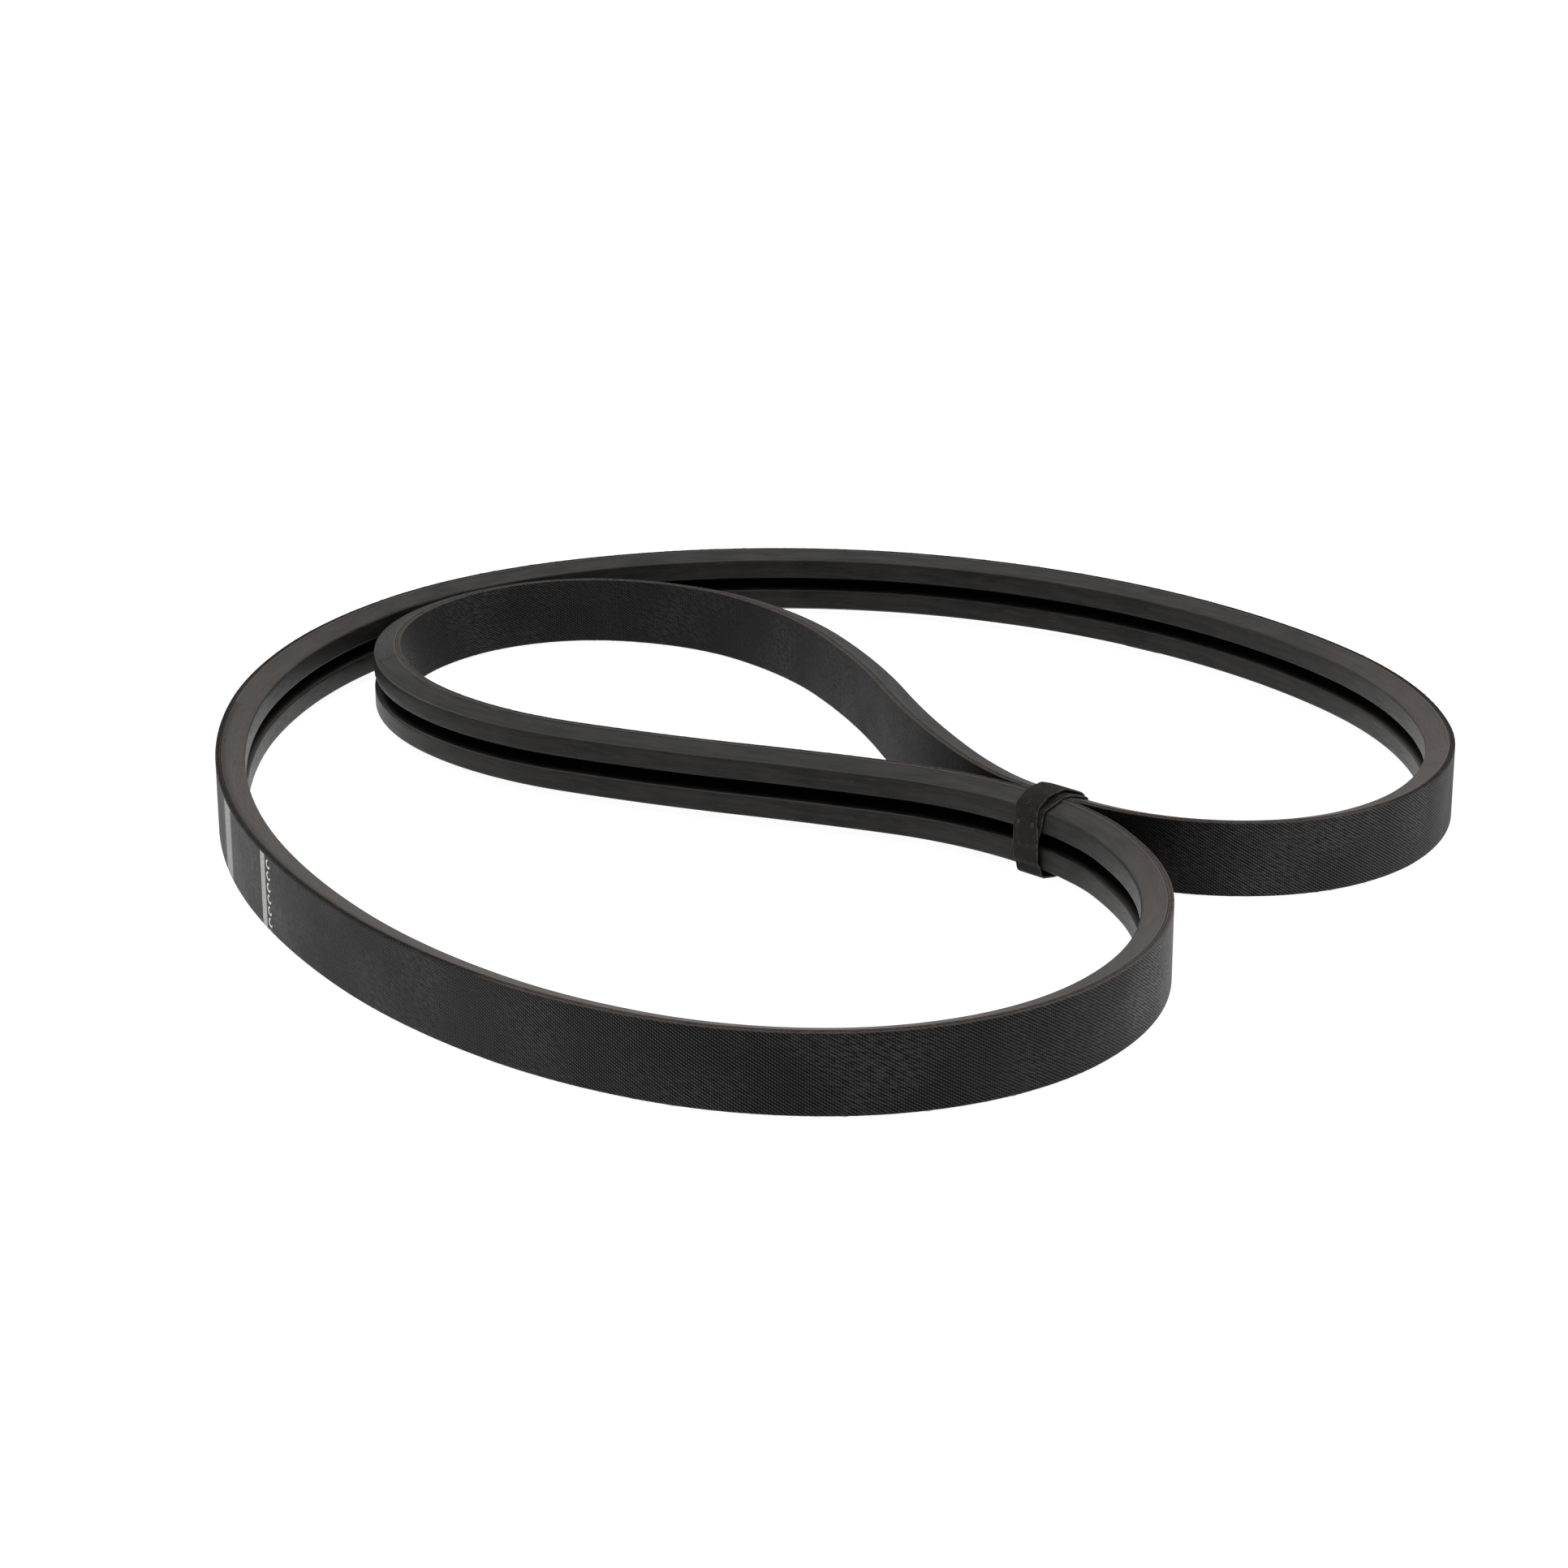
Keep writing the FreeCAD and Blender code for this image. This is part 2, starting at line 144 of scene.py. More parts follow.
# A row of small hooked ticks: their rings' middle along the belt, pitch and start across it, ring
# radius, half the line's width, and how much ink they have. A ring is drawn out along the belt.
TICKS_AT = 3.2364
TICK_PITCH = 5.87 * MM
TICK_OFFSET = 4.155 * MM
TICK_RADIUS = 1.75 * MM
TICK_LINE = 0.5 * MM
TICK_INK = 0.75
TICK_SQUEEZE = 0.75
# How bright the back and the jackets are painted along the belt, as (distance along the belt, share):
# painted light and shade, lighter where they catch light at a grazing angle, and the back darkest in the
# pinch.
BACK_PAINTED_LIGHT = [
    (0.0, 1.2), (1.12, 1.0), (1.19, 1.45), (1.24, 1.2), (1.28, 0.5), (1.33, 0.12),
    (1.40, 0.15), (1.44, 0.35), (1.50, 0.55), (1.60, 0.62), (1.72, 0.8), (1.85, 0.85),
    (1.95, 0.65), (2.10, 0.8), (2.30, 0.8), (2.40, 0.4), (2.48, 0.12), (2.56, 0.5),
    (2.62, 1.3), (2.69, 1.43), (2.74, 1.1), (2.88, 0.88), (3.00, 1.25), (3.06, 1.25),
    (3.17, 1.05), (3.28, 1.4), (3.40, 1.2),
]
JACKET_PAINTED_LIGHT = [
    (0.0, 1.2), (0.3, 1.0), (0.85, 1.05), (1.0, 1.35), (1.13, 1.6), (1.25, 1.6),
    (1.35, 1.0), (1.5, 0.82), (2.4, 0.82), (2.48, 1.0), (2.56, 1.1), (2.65, 1.3),
    (2.8, 1.45), (2.95, 1.6), (3.1, 1.65), (3.25, 1.35), (3.4, 1.22),
]
TONE_LIMIT = 1.8
# Where the cut edge of the tie band is paler, along the belt.
PALE_EDGE_RUN = (1.151, 3.062)
# From this distance the belt's cut edge and the flank beside it are darker: painted shade.
DARK_EDGE_FROM = 3.07
# Where the inner loop runs, where the jackets' corners carry a pale painted highlight, and where they
# carry a dark painted shade.
INNER_LOOP_RUN = (1.38, 2.52)
HIGHLIT_CORNERS = (1.98, 2.47)
SHADED_CORNERS = (2.49, 2.9)
# Where a jacket's fabric laps over itself: distance along the belt and length of the lap.
LAPS = {
    "upper_rib": [(0.197, 0.026), (0.245, 0.018), (1.063, 0.024), (2.024, 0.022)],
    "lower_rib": [(0.713, 0.024)],
}
LAP_RISE = 0.22 * MM
EDGE_FIBRES = 700
FIBRE_RADIUS = 0.06 * MM
# How far the tie band's cut edges stray, by material slot.
CUT_ROUGHNESS = {"band_fabric": 0.12 * MM, "band_rubber": 0.24 * MM}

# The second turn of the strap arches over the belt: across, height, radius of its middle line.
ARCH = [(17.1 * MM, 35.9 * MM, 5 * MM), (8.0 * MM, 40.7 * MM, 10 * MM), (-2.5 * MM, 41.3 * MM, 9 * MM)]
ARCH_END = (-10.9 * MM, 38.3 * MM, 0)
TAB_BEND_RADIUS = 3.2 * MM
# The strap is slack at its front foot, where it turns under the belt: height and radius there.
SLACK_FOOT = (0.4 * MM, 2.2 * MM)
# Above this height on the front, the strap is a narrower ribbed tape sewn to the smooth webbing.
TAPE_START = 26.5 * MM
TACK_THREADS = 4
TACK_SPACING = 0.5 * MM
TACK_RADIUS = 0.09 * MM
TAPE_WIDTH = 14.2 * MM
TAPE_RIB_PITCH = 1.2 * MM
PAD_BACKING = 0.35 * MM
LOOP_PITCH = 0.72 * MM
LOOP_RADIUS = 0.05 * MM
HOOK_PITCH = 0.95 * MM
HOOK_RADIUS = 0.06 * MM
# Half the way round the webbing's section.
WEBBING_SIDE = 16.6 * MM
# How far the strap strays along the pinch, as (distance along the strap, shift), on its wrap and
# on its free end. The narrower tape keeps one shift.
TAPE_STRAY = -1.0 * MM
STRAY = [
    (0.0, -3.4 * MM), (8 * MM, -2.4 * MM), (20 * MM, 0.5 * MM), (28 * MM, 1.8 * MM),
    (50 * MM, 2.4 * MM), (115 * MM, 2.4 * MM), (121 * MM, 1.0 * MM), (129 * MM, TAPE_STRAY),
    (160 * MM, TAPE_STRAY), (175 * MM, -1.4 * MM), (187 * MM, -2.5 * MM),
]
END_STRAY = [(0.0, -2.5 * MM), (7 * MM, -3.2 * MM), (15 * MM, 0.0)]

# The floor glows, so that it shows plain white. Lights point at the middle: name, place, size, power.
FLOOR_REACH = 20.0
FLOOR_GLOW = 0.95
WORLD_LIGHT = 0.55
LIGHTS = [
    ("overhead", (0.0, 0.2, 1.8), 2.2, 22),
    ("left", (-2.4, 1.0, 0.7), 1.2, 10),
    ("right", (2.4, 0.8, 0.7), 1.2, 10),
]
# The camera's place, its tilt down and its roll in degrees, and its lens in millimetres.
CAMERA_PLACE = (-0.0249, -1.7584, 0.6179)
CAMERA_DOWN = 18.87
CAMERA_ROLL = 0.11
CAMERA_LENS = 82.78


# ---- the belt's route
def heading_vector(heading):
    return np.array([math.cos(heading), math.sin(heading)])


def arc_between(start, heading, end):
    """The arc that leaves start along the heading and reaches end: start, heading, length, curvature."""
    chord = end - start
    along = heading_vector(heading)
    half_turn = math.atan2(along[0] * chord[1] - along[1] * chord[0], along @ chord)
    length = math.hypot(*chord) * half_turn / math.sin(half_turn)
    return start, heading, length, 2 * half_turn / length


def two_arcs(start, heading, end, end_heading):
    """Two arcs tangent to each other that join two points with given headings."""
    leave = heading_vector(heading)
    arrive = heading_vector(end_heading)
    chord = end - start
    both = leave + arrive
    spread = 2 * (1 - leave @ arrive)
    if spread < 1e-9:
        reach = chord @ chord / (4 * chord @ arrive)
    else:
        reach = (math.sqrt((chord @ both) ** 2 + spread * chord @ chord) - chord @ both) / spread
    first_handle = start + leave * reach
    last_handle = end - arrive * reach
    middle = (first_handle + last_handle) / 2
    across = last_handle - first_handle
    return [
        arc_between(start, heading, middle),
        arc_between(middle, math.atan2(across[1], across[0]), end),
    ]


class Route:
    """The closed line of the belt's back, as stretches of even curvature."""

    def __init__(self):
        def stations(points):
            return [(np.array([x, y]), math.radians(heading)) for x, y, heading in points]

        rear = self.pinch_run(PINCH_HEADING)
        front = self.pinch_run(PINCH_HEADING - math.pi)
        chain = stations(OUTER_LOOP) + rear + stations(INNER_LOOP) + front + stations(FRONT_LOBE)
        spans = []
        for here, there in zip(chain, chain[1:] + chain[:1]):
            if here is rear[0] or here is front[0]:
                spans.append((here[0], here[1], PINCH_RUN, 0.0))
            else:
                spans += two_arcs(*here, *there)
        self.starts = np.array([span[0] for span in spans])
        self.headings = np.array([span[1] for span in spans])
        self.curvatures = np.array([span[3] for span in spans])
        ends = np.cumsum([span[2] for span in spans])
        self.distances = np.concatenate([[0.0], ends[:-1]])
        self.length = float(ends[-1])

    @staticmethod
    def pinch_run(heading):
        along = heading_vector(heading)
        to_ribs = np.array([along[1], -along[0]])
        middle = PINCH_CENTRE + to_ribs * (PINCH_GAP / 2)
        return [(middle - along * (PINCH_RUN / 2), heading), (middle + along * (PINCH_RUN / 2), heading)]

    def at(self, distances):
        """Places on the back and directions towards the ribs, at distances along the belt."""
        index = np.searchsorted(self.distances, distances, side="right") - 1
        run = distances - self.distances[index]
        heading = self.headings[index]
        curvature = self.curvatures[index]
        turned = heading + curvature * run
        straight = np.abs(curvature) < 1e-9
        bend = np.where(straight, 1.0, curvature)
        x = np.where(straight, run * np.cos(heading), (np.sin(turned) - np.sin(heading)) / bend)
        y = np.where(straight, run * np.sin(heading), (np.cos(heading) - np.cos(turned)) / bend)
        places = self.starts[index] + np.stack([x, y], axis=1)
        to_ribs = np.stack([np.sin(turned), -np.cos(turned)], axis=1)
        return places, to_ribs


ROUTE = Route()


# ---- outlines and meshes
def unit(vector):
    return vector / math.hypot(*vector)


def rounded(corners, longest=3 * MM, closed=True):
    """Points along straight runs between corners (a, b, radius), with an arc at each corner."""
    points = []
    count = len(corners)
    for index, (a, b, radius) in enumerate(corners):
        here = np.array([a, b])
        if radius == 0:
            points.append(here)
            continue
        back = unit(np.array(corners[index - 1][:2]) - here)
        ahead = unit(np.array(corners[(index + 1) % count][:2]) - here)
        half = math.acos(max(-1.0, min(1.0, back @ ahead))) / 2
        centre = here + unit(back + ahead) * radius / math.sin(half)
        start = here + back * radius / math.tan(half) - centre
        end = here + ahead * radius / math.tan(half) - centre
        turn = math.pi - 2 * half
        for step in range(ARC_STEPS + 1):
            ahead_by = step / ARC_STEPS * turn
            spoke = math.sin(turn - ahead_by) * start + math.sin(ahead_by) * end
            points.append(centre + spoke / math.sin(turn))
    return subdivided(points, longest, closed)


def subdivided(points, longest, closed):
    """The same line with extra points on its long runs."""
    result = []
    pairs = list(zip(points, points[1:] + points[:1]))
    if not closed:
        pairs = pairs[:-1]
    for here, there in pairs:
        steps = max(1, math.ceil(math.hypot(*(there - here)) / longest))
        result += [here + (there - here) * step / steps for step in range(steps)]
    if not closed:
        result.append(points[-1])
    return np.array(result)


def running_length(points, closed):
    """Distance along a line of points, with the way back to the start if it is closed."""
    line = np.concatenate([points, points[:1]]) if closed else points
    steps = np.hypot(*np.diff(line, axis=0).T)
    return np.concatenate([[0.0], np.cumsum(steps)])


def grid_mesh(name, places, rows_uv, columns_uv, closed_rows):
    """A tube of quads from a grid of places (row, column, xyz), closed round its columns.

    It is closed along its rows too, or ends in two flat caps."""
    rows, columns = places.shape[:2]
    spans = rows if closed_rows else rows - 1
    row = np.arange(spans)[:, None, None] + np.array([0, 1, 1, 0])
    column = np.arange(columns)[None, :, None] + np.array([0, 0, 1, 1])
    quads = (row % rows * columns + column % columns).reshape(-1, 4)
    loops_uv = np.stack(np.broadcast_arrays(rows_uv[row], columns_uv[column]), axis=-1).reshape(-1, 2)
    faces = [tuple(quad) for quad in quads.tolist()]
    if not closed_rows:
        first = list(range(columns))
        last = [(rows - 1) * columns + c for c in range(columns)]
        faces += [tuple(first), tuple(last[::-1])]
        ends = [np.stack([np.full(columns, rows_uv[0]), columns_uv[:-1]], 1)]
        ends.append(np.stack([np.full(columns, rows_uv[-1]), columns_uv[:-1][::-1]], 1))
        loops_uv = np.concatenate([loops_uv] + ends)
    mesh = bpy.data.meshes.new(name)
    mesh.from_pydata(places.reshape(-1, 3).tolist(), [], faces)
    layer = mesh.uv_layers.new(name="Weave")
    layer.data.foreach_set("uv", loops_uv.astype(np.float32).ravel())
    return finished_object(name, mesh)


def enclosed_volume(mesh):
    mesh.calc_loop_triangles()
    corners = np.array([triangle.vertices[:] for triangle in mesh.loop_triangles])
    points = np.array([vertex.co[:] for vertex in mesh.vertices])
    a, b, c = points[corners[:, 0]], points[corners[:, 1]], points[corners[:, 2]]
    return float(np.einsum("ij,ij->i", a, np.cross(b, c)).sum() / 6)


def placed(name, data):
    """Puts an object with this mesh, light or camera in the scene."""
    thing = bpy.data.objects.new(name, data)
    bpy.context.scene.collection.objects.link(thing)
    return thing


def finished_object(name, mesh, sharp_angle=SHARP_ANGLE):
    """Places a mesh with its faces outwards, smooth shading and sharp real edges."""
    if enclosed_volume(mesh) < 0:
        mesh.flip_normals()
    mesh.shade_smooth()
    mesh.set_sharp_from_angle(angle=math.radians(sharp_angle))
    return placed(name, mesh)


def waves(distance, seed, wavelengths):
    """Smooth unevenness between -1 and 1 along the belt that closes on itself."""
    total = np.zeros_like(distance)
    for number, wavelength in enumerate(wavelengths):
        cycles = round(ROUTE.length / wavelength)
        phase = 2.399 * (seed + 1) * (number + 1)
        total += np.sin(2 * math.pi * cycles * distance / ROUTE.length + phase)
    return total / len(wavelengths)


def swept(name, outline, roughness=0.0, seed=0, laps=(), middle=0.0):
    """A ring with an outline of (depth, height) points, carried round the belt.

    Roughness is how far the points on the cut edges of the tie band stray in height. Laps are
    stretches (start, length) where the outline stands proud of the middle height."""
    count = round(ROUTE.length / STATION_STEP)
    distance = np.arange(count) * ROUTE.length / count
    places, to_ribs = ROUTE.at(distance)
    depth = np.broadcast_to(outline[:, 0], (count, len(outline)))
    height = np.tile(outline[:, 1], (count, 1))
    if roughness:
        edge = np.clip(np.abs(outline[:, 1] / BELT_WIDTH - 0.5) * 2, 0, 1) ** 40
        side = np.sign(outline[:, 1] - BELT_WIDTH / 2)
        for column in range(len(outline)):
            wander = waves(distance, seed + 0.37 * column, [0.0053, 0.0071, 0.0113, 0.043])
            height[:, column] -= roughness * edge[column] * (0.5 + wander) * side[column]
    for start, length in laps:
        lapped = (distance > start) & (distance < start + length)
        height[lapped] += LAP_RISE * np.sign(outline[:, 1] - middle)
    flat = places[:, None, :] + to_ribs[:, None, :] * depth[:, :, None]
    grid = np.concatenate([flat, (height + EDGE_HEIGHT)[:, :, None]], axis=2)
    rows_uv = np.append(distance, ROUTE.length)
    return grid_mesh(name, grid, rows_uv, running_length(outline, True), True)


def threads(name, paths, radius, sides):
    """One mesh of many thin round threads: paths is an array (thread, point, xyz)."""
    paths = np.asarray(paths)
    count, points = paths.shape[:2]
    along = np.gradient(paths, axis=1)
    along /= np.linalg.norm(along, axis=2, keepdims=True)
    first = np.cross(along, np.array([0.31, 0.52, 0.79]))
    first /= np.linalg.norm(first, axis=2, keepdims=True)
    second = np.cross(along, first)
    angle = np.arange(sides) * 2 * math.pi / sides
    ring = first[:, :, None] * np.cos(angle)[:, None] + second[:, :, None] * np.sin(angle)[:, None]
    grid = paths[:, :, None] + ring * radius
    row = np.arange(points - 1)[:, None, None] + np.array([0, 0, 1, 1])
    column = np.arange(sides)[None, :, None] + np.array([0, 1, 1, 0])
    one_thread = (row * sides + column % sides).reshape(-1, 4)
    faces = []
    for start in range(0, count * points * sides, points * sides):
        last = start + (points - 1) * sides
        faces += (one_thread + start).tolist()
        faces.append(list(range(start + sides - 1, start - 1, -1)))
        faces.append(list(range(last, last + sides)))
    mesh = bpy.data.meshes.new(name)
    mesh.from_pydata(grid.reshape(-1, 3).tolist(), [], faces)
    return finished_object(name, mesh, THREAD_SHARP_ANGLE)


def rib_half_width(depth):
    return RIB_FACE_WIDTH / 2 + (BELT_THICKNESS - depth) * RIB_SLOPE


# ---- materials
DUST = (0.2, 0.19, 0.18)
# Round a jacket's section from its seam: where its flank meets the tie band, and the whole way.
JACKET_BEAD_AT = rib_half_width(BAND_DEPTH)
JACKET_FLANK = (BELT_THICKNESS - BAND_DEPTH) * math.hypot(1, RIB_SLOPE)
JACKET_GIRTH = 2 * (JACKET_BEAD_AT + JACKET_FLANK) + RIB_FACE_WIDTH


class Nodes:
    """Builds one node material, with short calls for the nodes that all of them use."""

    def __init__(self, name):
        self.material = bpy.data.materials.new(name)
        self.material.use_nodes = True
        self.tree = self.material.node_tree
        self.shader = self.tree.nodes["Principled BSDF"]

    def add(self, kind, **values):
        node = self.tree.nodes.new("ShaderNode" + kind)
        for key, value in values.items():
            setattr(node, key, value)
        return node

    def link(self, source, target):
        """Feeds a socket from another one, or sets it to a number."""
        if isinstance(source, (int, float)):
            target.default_value = source
        else:
            self.tree.links.new(source, target)

    def math(self, operation, first, second=0.0, third=0.0):
        node = self.add("Math", operation=operation)
        for socket, value in zip(node.inputs, (first, second, third)):
            self.link(value, socket)
        return node.outputs[0]

    def times(self, first, second):
        return self.math("MULTIPLY", first, second)

    def plus(self, first, second):
        return self.math("ADD", first, second)

    def minus(self, first, second):
        return self.math("SUBTRACT", first, second)

    def linear(self, value, slope, start):
        """The value times slope, plus start."""
        return self.math("MULTIPLY_ADD", value, slope, start)

    def gap(self, first, second):
        return self.math("ABSOLUTE", self.minus(first, second))

    def split(self, vector):
        node = self.add("SeparateXYZ")
        self.link(vector, node.inputs[0])
        return node.outputs

    def weave_coordinates(self):
        """Distance along the belt or strap, and distance round its section."""
        return self.split(self.add("UVMap", uv_map="Weave").outputs[0])[:2]

    def vector(self, x, y, z=0.0):
        node = self.add("CombineXYZ")
        for socket, value in zip(node.inputs, (x, y, z)):
            self.link(value, socket)
        return node.outputs[0]

    def place(self):
        """The point in the model's own frame."""
        return self.add("TexCoord").outputs["Object"]

    def height(self):
        """Height above the belt's lower edge."""
        return self.minus(self.split(self.place())[2], EDGE_HEIGHT)

    def turned(self, x, y, degrees):
        """Coordinates along a direction at an angle to x, and across it."""
        cosine = math.cos(math.radians(degrees))
        sine = math.sin(math.radians(degrees))
        along = self.linear(x, cosine, self.times(y, sine))
        across = self.linear(x, -sine, self.times(y, cosine))
        return along, across

    def fading(self, value, near, far):
        """1 up to near, falling to 0 at far."""
        return self.between(value, near, far, 1.0, 0.0)

    def stretch(self, value, start, end, soft):
        """1 between start and end, falling to 0 over a soft length inside each of them."""
        return self.times(self.between(value, start, start + soft), self.fading(value, end - soft, end))

    def tone(self, along, stops):
        """A share that changes along the closed belt through stops (distance, share)."""
        node = self.add("ValToRGB")
        self.link(self.math("DIVIDE", along, ROUTE.length), node.inputs[0])
        ramp = node.color_ramp.elements
        for distance, _ in stops[1:]:
            ramp.new(distance / ROUTE.length)
        for stop, (_, share) in zip(ramp, stops + stops[:1]):
            level = share / TONE_LIMIT
            stop.color = (level, level, level, 1.0)
        return self.times(node.outputs[0], TONE_LIMIT)

    def drawn_noise(self, along, across, squeeze, scale, detail=3.0, roughness=0.55):
        """Noise whose blots are drawn out along the first coordinate."""
        return self.noise(self.vector(self.times(along, squeeze), across), scale, detail, roughness)

    def noise(self, coordinates, scale, detail=3.0, roughness=0.55):
        node = self.add("TexNoise")
        self.link(coordinates, node.inputs["Vector"])
        self.link(scale, node.inputs["Scale"])
        self.link(detail, node.inputs["Detail"])
        self.link(roughness, node.inputs["Roughness"])
        return node.outputs[0]

    def ridges(self, coordinate, pitch):
        """A wave between 0 and 1 that repeats every pitch."""
        angle = self.times(coordinate, 2 * math.pi / pitch)
        return self.linear(self.math("SINE", angle), 0.5, 0.5)

    def between(self, value, low, high, out_low=0.0, out_high=1.0):
        node = self.add("MapRange", interpolation_type="SMOOTHSTEP")
        self.link(value, node.inputs["Value"])
        limits = {"From Min": low, "From Max": high, "To Min": out_low, "To Max": out_high}
        for name, number in limits.items():
            self.link(number, node.inputs[name])
        return node.outputs[0]

    def mix(self, share, first, second):
        node = self.add("Mix", data_type="RGBA")
        self.link(share, node.inputs[0])
        for socket, colour in ((node.inputs[6], first), (node.inputs[7], second)):
            if isinstance(colour, tuple):
                socket.default_value = (*colour, 1.0)
            else:
                self.link(colour, socket)
        return node.outputs[2]

    def painted(self, colour, *layers):
        """The colour under layers (share, tint), each over the one before."""
        for share, tint in layers:
            colour = self.mix(share, colour, tint)
        return colour

    def scaled(self, colour, share):
        node = self.add("VectorMath", operation="SCALE")
        self.link(colour, node.inputs[0])
        self.link(share, node.inputs["Scale"])
        return node.outputs[0]

    def bump(self, height, distance, strength=1.0):
        node = self.add("Bump")
        self.link(distance, node.inputs["Distance"])
        self.link(strength, node.inputs["Strength"])
        self.link(height, node.inputs["Height"])
        self.link(node.outputs[0], self.shader.inputs["Normal"])

    def finish(self, colour, roughness, specular, sheen=0.0):
        self.link(colour, self.shader.inputs["Base Color"])
        self.link(roughness, self.shader.inputs["Roughness"])
        self.link(specular, self.shader.inputs["Specular IOR Level"])
        self.link(sheen, self.shader.inputs["Sheen Weight"])
        return self.material


def printed_marks(nodes, along, height, plane):
    """How much ink covers the back: worn stripes across it and a row of small hooked ticks."""
    uneven_share = nodes.between(nodes.noise(plane, 900.0, 3.0), 0.30, 0.50)
    ink = 0.0
    for start, width, soft, strength in STRIPES:
        stripe = nodes.stretch(along, start, start + width, soft)
        ink = nodes.linear(stripe, strength, ink)
    sideways = nodes.times(nodes.minus(along, TICKS_AT), TICK_SQUEEZE)
    cell = nodes.math("FLOORED_MODULO", nodes.plus(height, TICK_OFFSET), TICK_PITCH)
    upwards = nodes.minus(cell, TICK_PITCH / 2)
    squares = nodes.linear(sideways, sideways, nodes.times(upwards, upwards))
    ring = nodes.math("COMPARE", nodes.math("SQRT", squares), TICK_RADIUS, TICK_LINE)
    right_half = nodes.math("GREATER_THAN", sideways, 0.1 * MM)
    below = nodes.math("LESS_THAN", upwards, -0.5 * MM)
    hook_end = nodes.times(below, nodes.math("GREATER_THAN", sideways, -1.5 * MM))
    drawn = nodes.times(ring, nodes.math("MAXIMUM", right_half, hook_end))
    ink = nodes.linear(drawn, TICK_INK, ink)
    return nodes.times(ink, nodes.linear(uneven_share, 0.6, 0.4))


def cut_edge_colour(nodes, along, plane):
    """The tie band's cut edge: torn dark brown rubber and fibres, paler along one stretch of the belt and
    darkened with painted shade from DARK_EDGE_FROM on.
    """
    streaks = nodes.drawn_noise(along, nodes.height(), 0.25, 700.0, 4.0, 0.65)
    torn = nodes.noise(plane, 1300.0, 4.0, 0.7)
    dark = nodes.mix(nodes.between(torn, 0.38, 0.66), (0.0065, 0.005, 0.0044), (0.034, 0.026, 0.022))
    red = nodes.mix(nodes.between(streaks, 0.45, 0.7, 0.0, 0.6), dark, (0.042, 0.029, 0.025))
    # Painted shade: the cut edge is darker from DARK_EDGE_FROM on.
    edge_shade_share = nodes.between(along, DARK_EDGE_FROM - 0.03, DARK_EDGE_FROM + 0.03, 1.0, 0.55)
    # The cut edge is paler along one stretch of the belt, in uneven patches.
    uneven_share = nodes.times(nodes.stretch(along, *PALE_EDGE_RUN, 0.04), nodes.between(torn, 0.3, 0.6, 0.45, 0.85))
    return nodes.mix(uneven_share, nodes.scaled(red, edge_shade_share), (0.085, 0.068, 0.060))


def band_fabric_material():
    """Rubberised bias-cut twill, pressed into ripples, dusty and printed, with painted light and shade
    along the belt and on its weave, and torn cut edges.
    """
    nodes = Nodes("band_fabric")
    along = nodes.weave_coordinates()[0]
    height = nodes.height()
    plane = nodes.vector(along, height)
    twill = nodes.ridges(nodes.turned(along, height, TWILL_ANGLE)[1], TWILL_PITCH)
    weave = nodes.times(twill, nodes.linear(nodes.ridges(along, WEFT_PITCH), 0.6, 0.4))
    dashes = nodes.drawn_noise(*nodes.turned(along, height, RIPPLE_ANGLE), 0.26, 900.0, 2.0, 0.5)
    how_rippled = nodes.between(nodes.noise(plane, 14.0, 2.0), 0.4, 0.65, 0.08, 0.42)
    relief = nodes.plus(nodes.times(nodes.between(dashes, 0.36, 0.62), how_rippled), weave)
    patches = nodes.noise(plane, 22.0, 4.0)
    specks = nodes.between(nodes.noise(plane, 1300.0, 2.0), 0.72, 0.78)
    # Painted light and shade along the belt, darkest in the pinch.
    tone = nodes.tone(along, BACK_PAINTED_LIGHT)
    # Raised ripples and threads are painted lighter and the hollows near black: painted highlight and
    # shade of the relief.
    speckled = nodes.painted(
        nodes.mix(nodes.between(relief, 0.05, 1.2), (0.0015, 0.0015, 0.0016), (0.041, 0.0405, 0.0412)),
        (nodes.between(patches, 0.45, 0.75, 0.0, 0.3), (0.021, 0.0205, 0.020)),
        (nodes.times(specks, 0.35), DUST),
    )
    ragged = nodes.linear(nodes.noise(plane, 420.0, 3.0), 0.9 * MM, nodes.gap(height, BELT_WIDTH / 2))
    edge = nodes.between(ragged, BELT_WIDTH / 2 - 0.25 * MM, BELT_WIDTH / 2 + 0.1 * MM)
    colour = nodes.painted(
        nodes.scaled(speckled, tone),
        (printed_marks(nodes, along, height, plane), (0.95, 0.95, 0.92)),
        (edge, cut_edge_colour(nodes, along, plane)),
    )
    nodes.bump(relief, 0.16 * MM, 0.9)
    specular = nodes.times(nodes.linear(relief, 0.13, 0.05), tone)
    return nodes.finish(colour, nodes.between(patches, 0.3, 0.8, 0.5, 0.64), specular, 0.02)


def edge_rubber_material():
    """Cut rubber between the plies: brown-black and torn."""
    nodes = Nodes("band_rubber")
    along = nodes.weave_coordinates()[0]
    plane = nodes.vector(along, nodes.height())
    colour = cut_edge_colour(nodes, along, plane)
    grain = nodes.noise(nodes.place(), 900.0, 4.0, 0.7)
    nodes.bump(grain, 0.3 * MM, 0.9)
    return nodes.finish(colour, nodes.between(grain, 0.3, 0.7, 0.6, 0.8), 0.16)


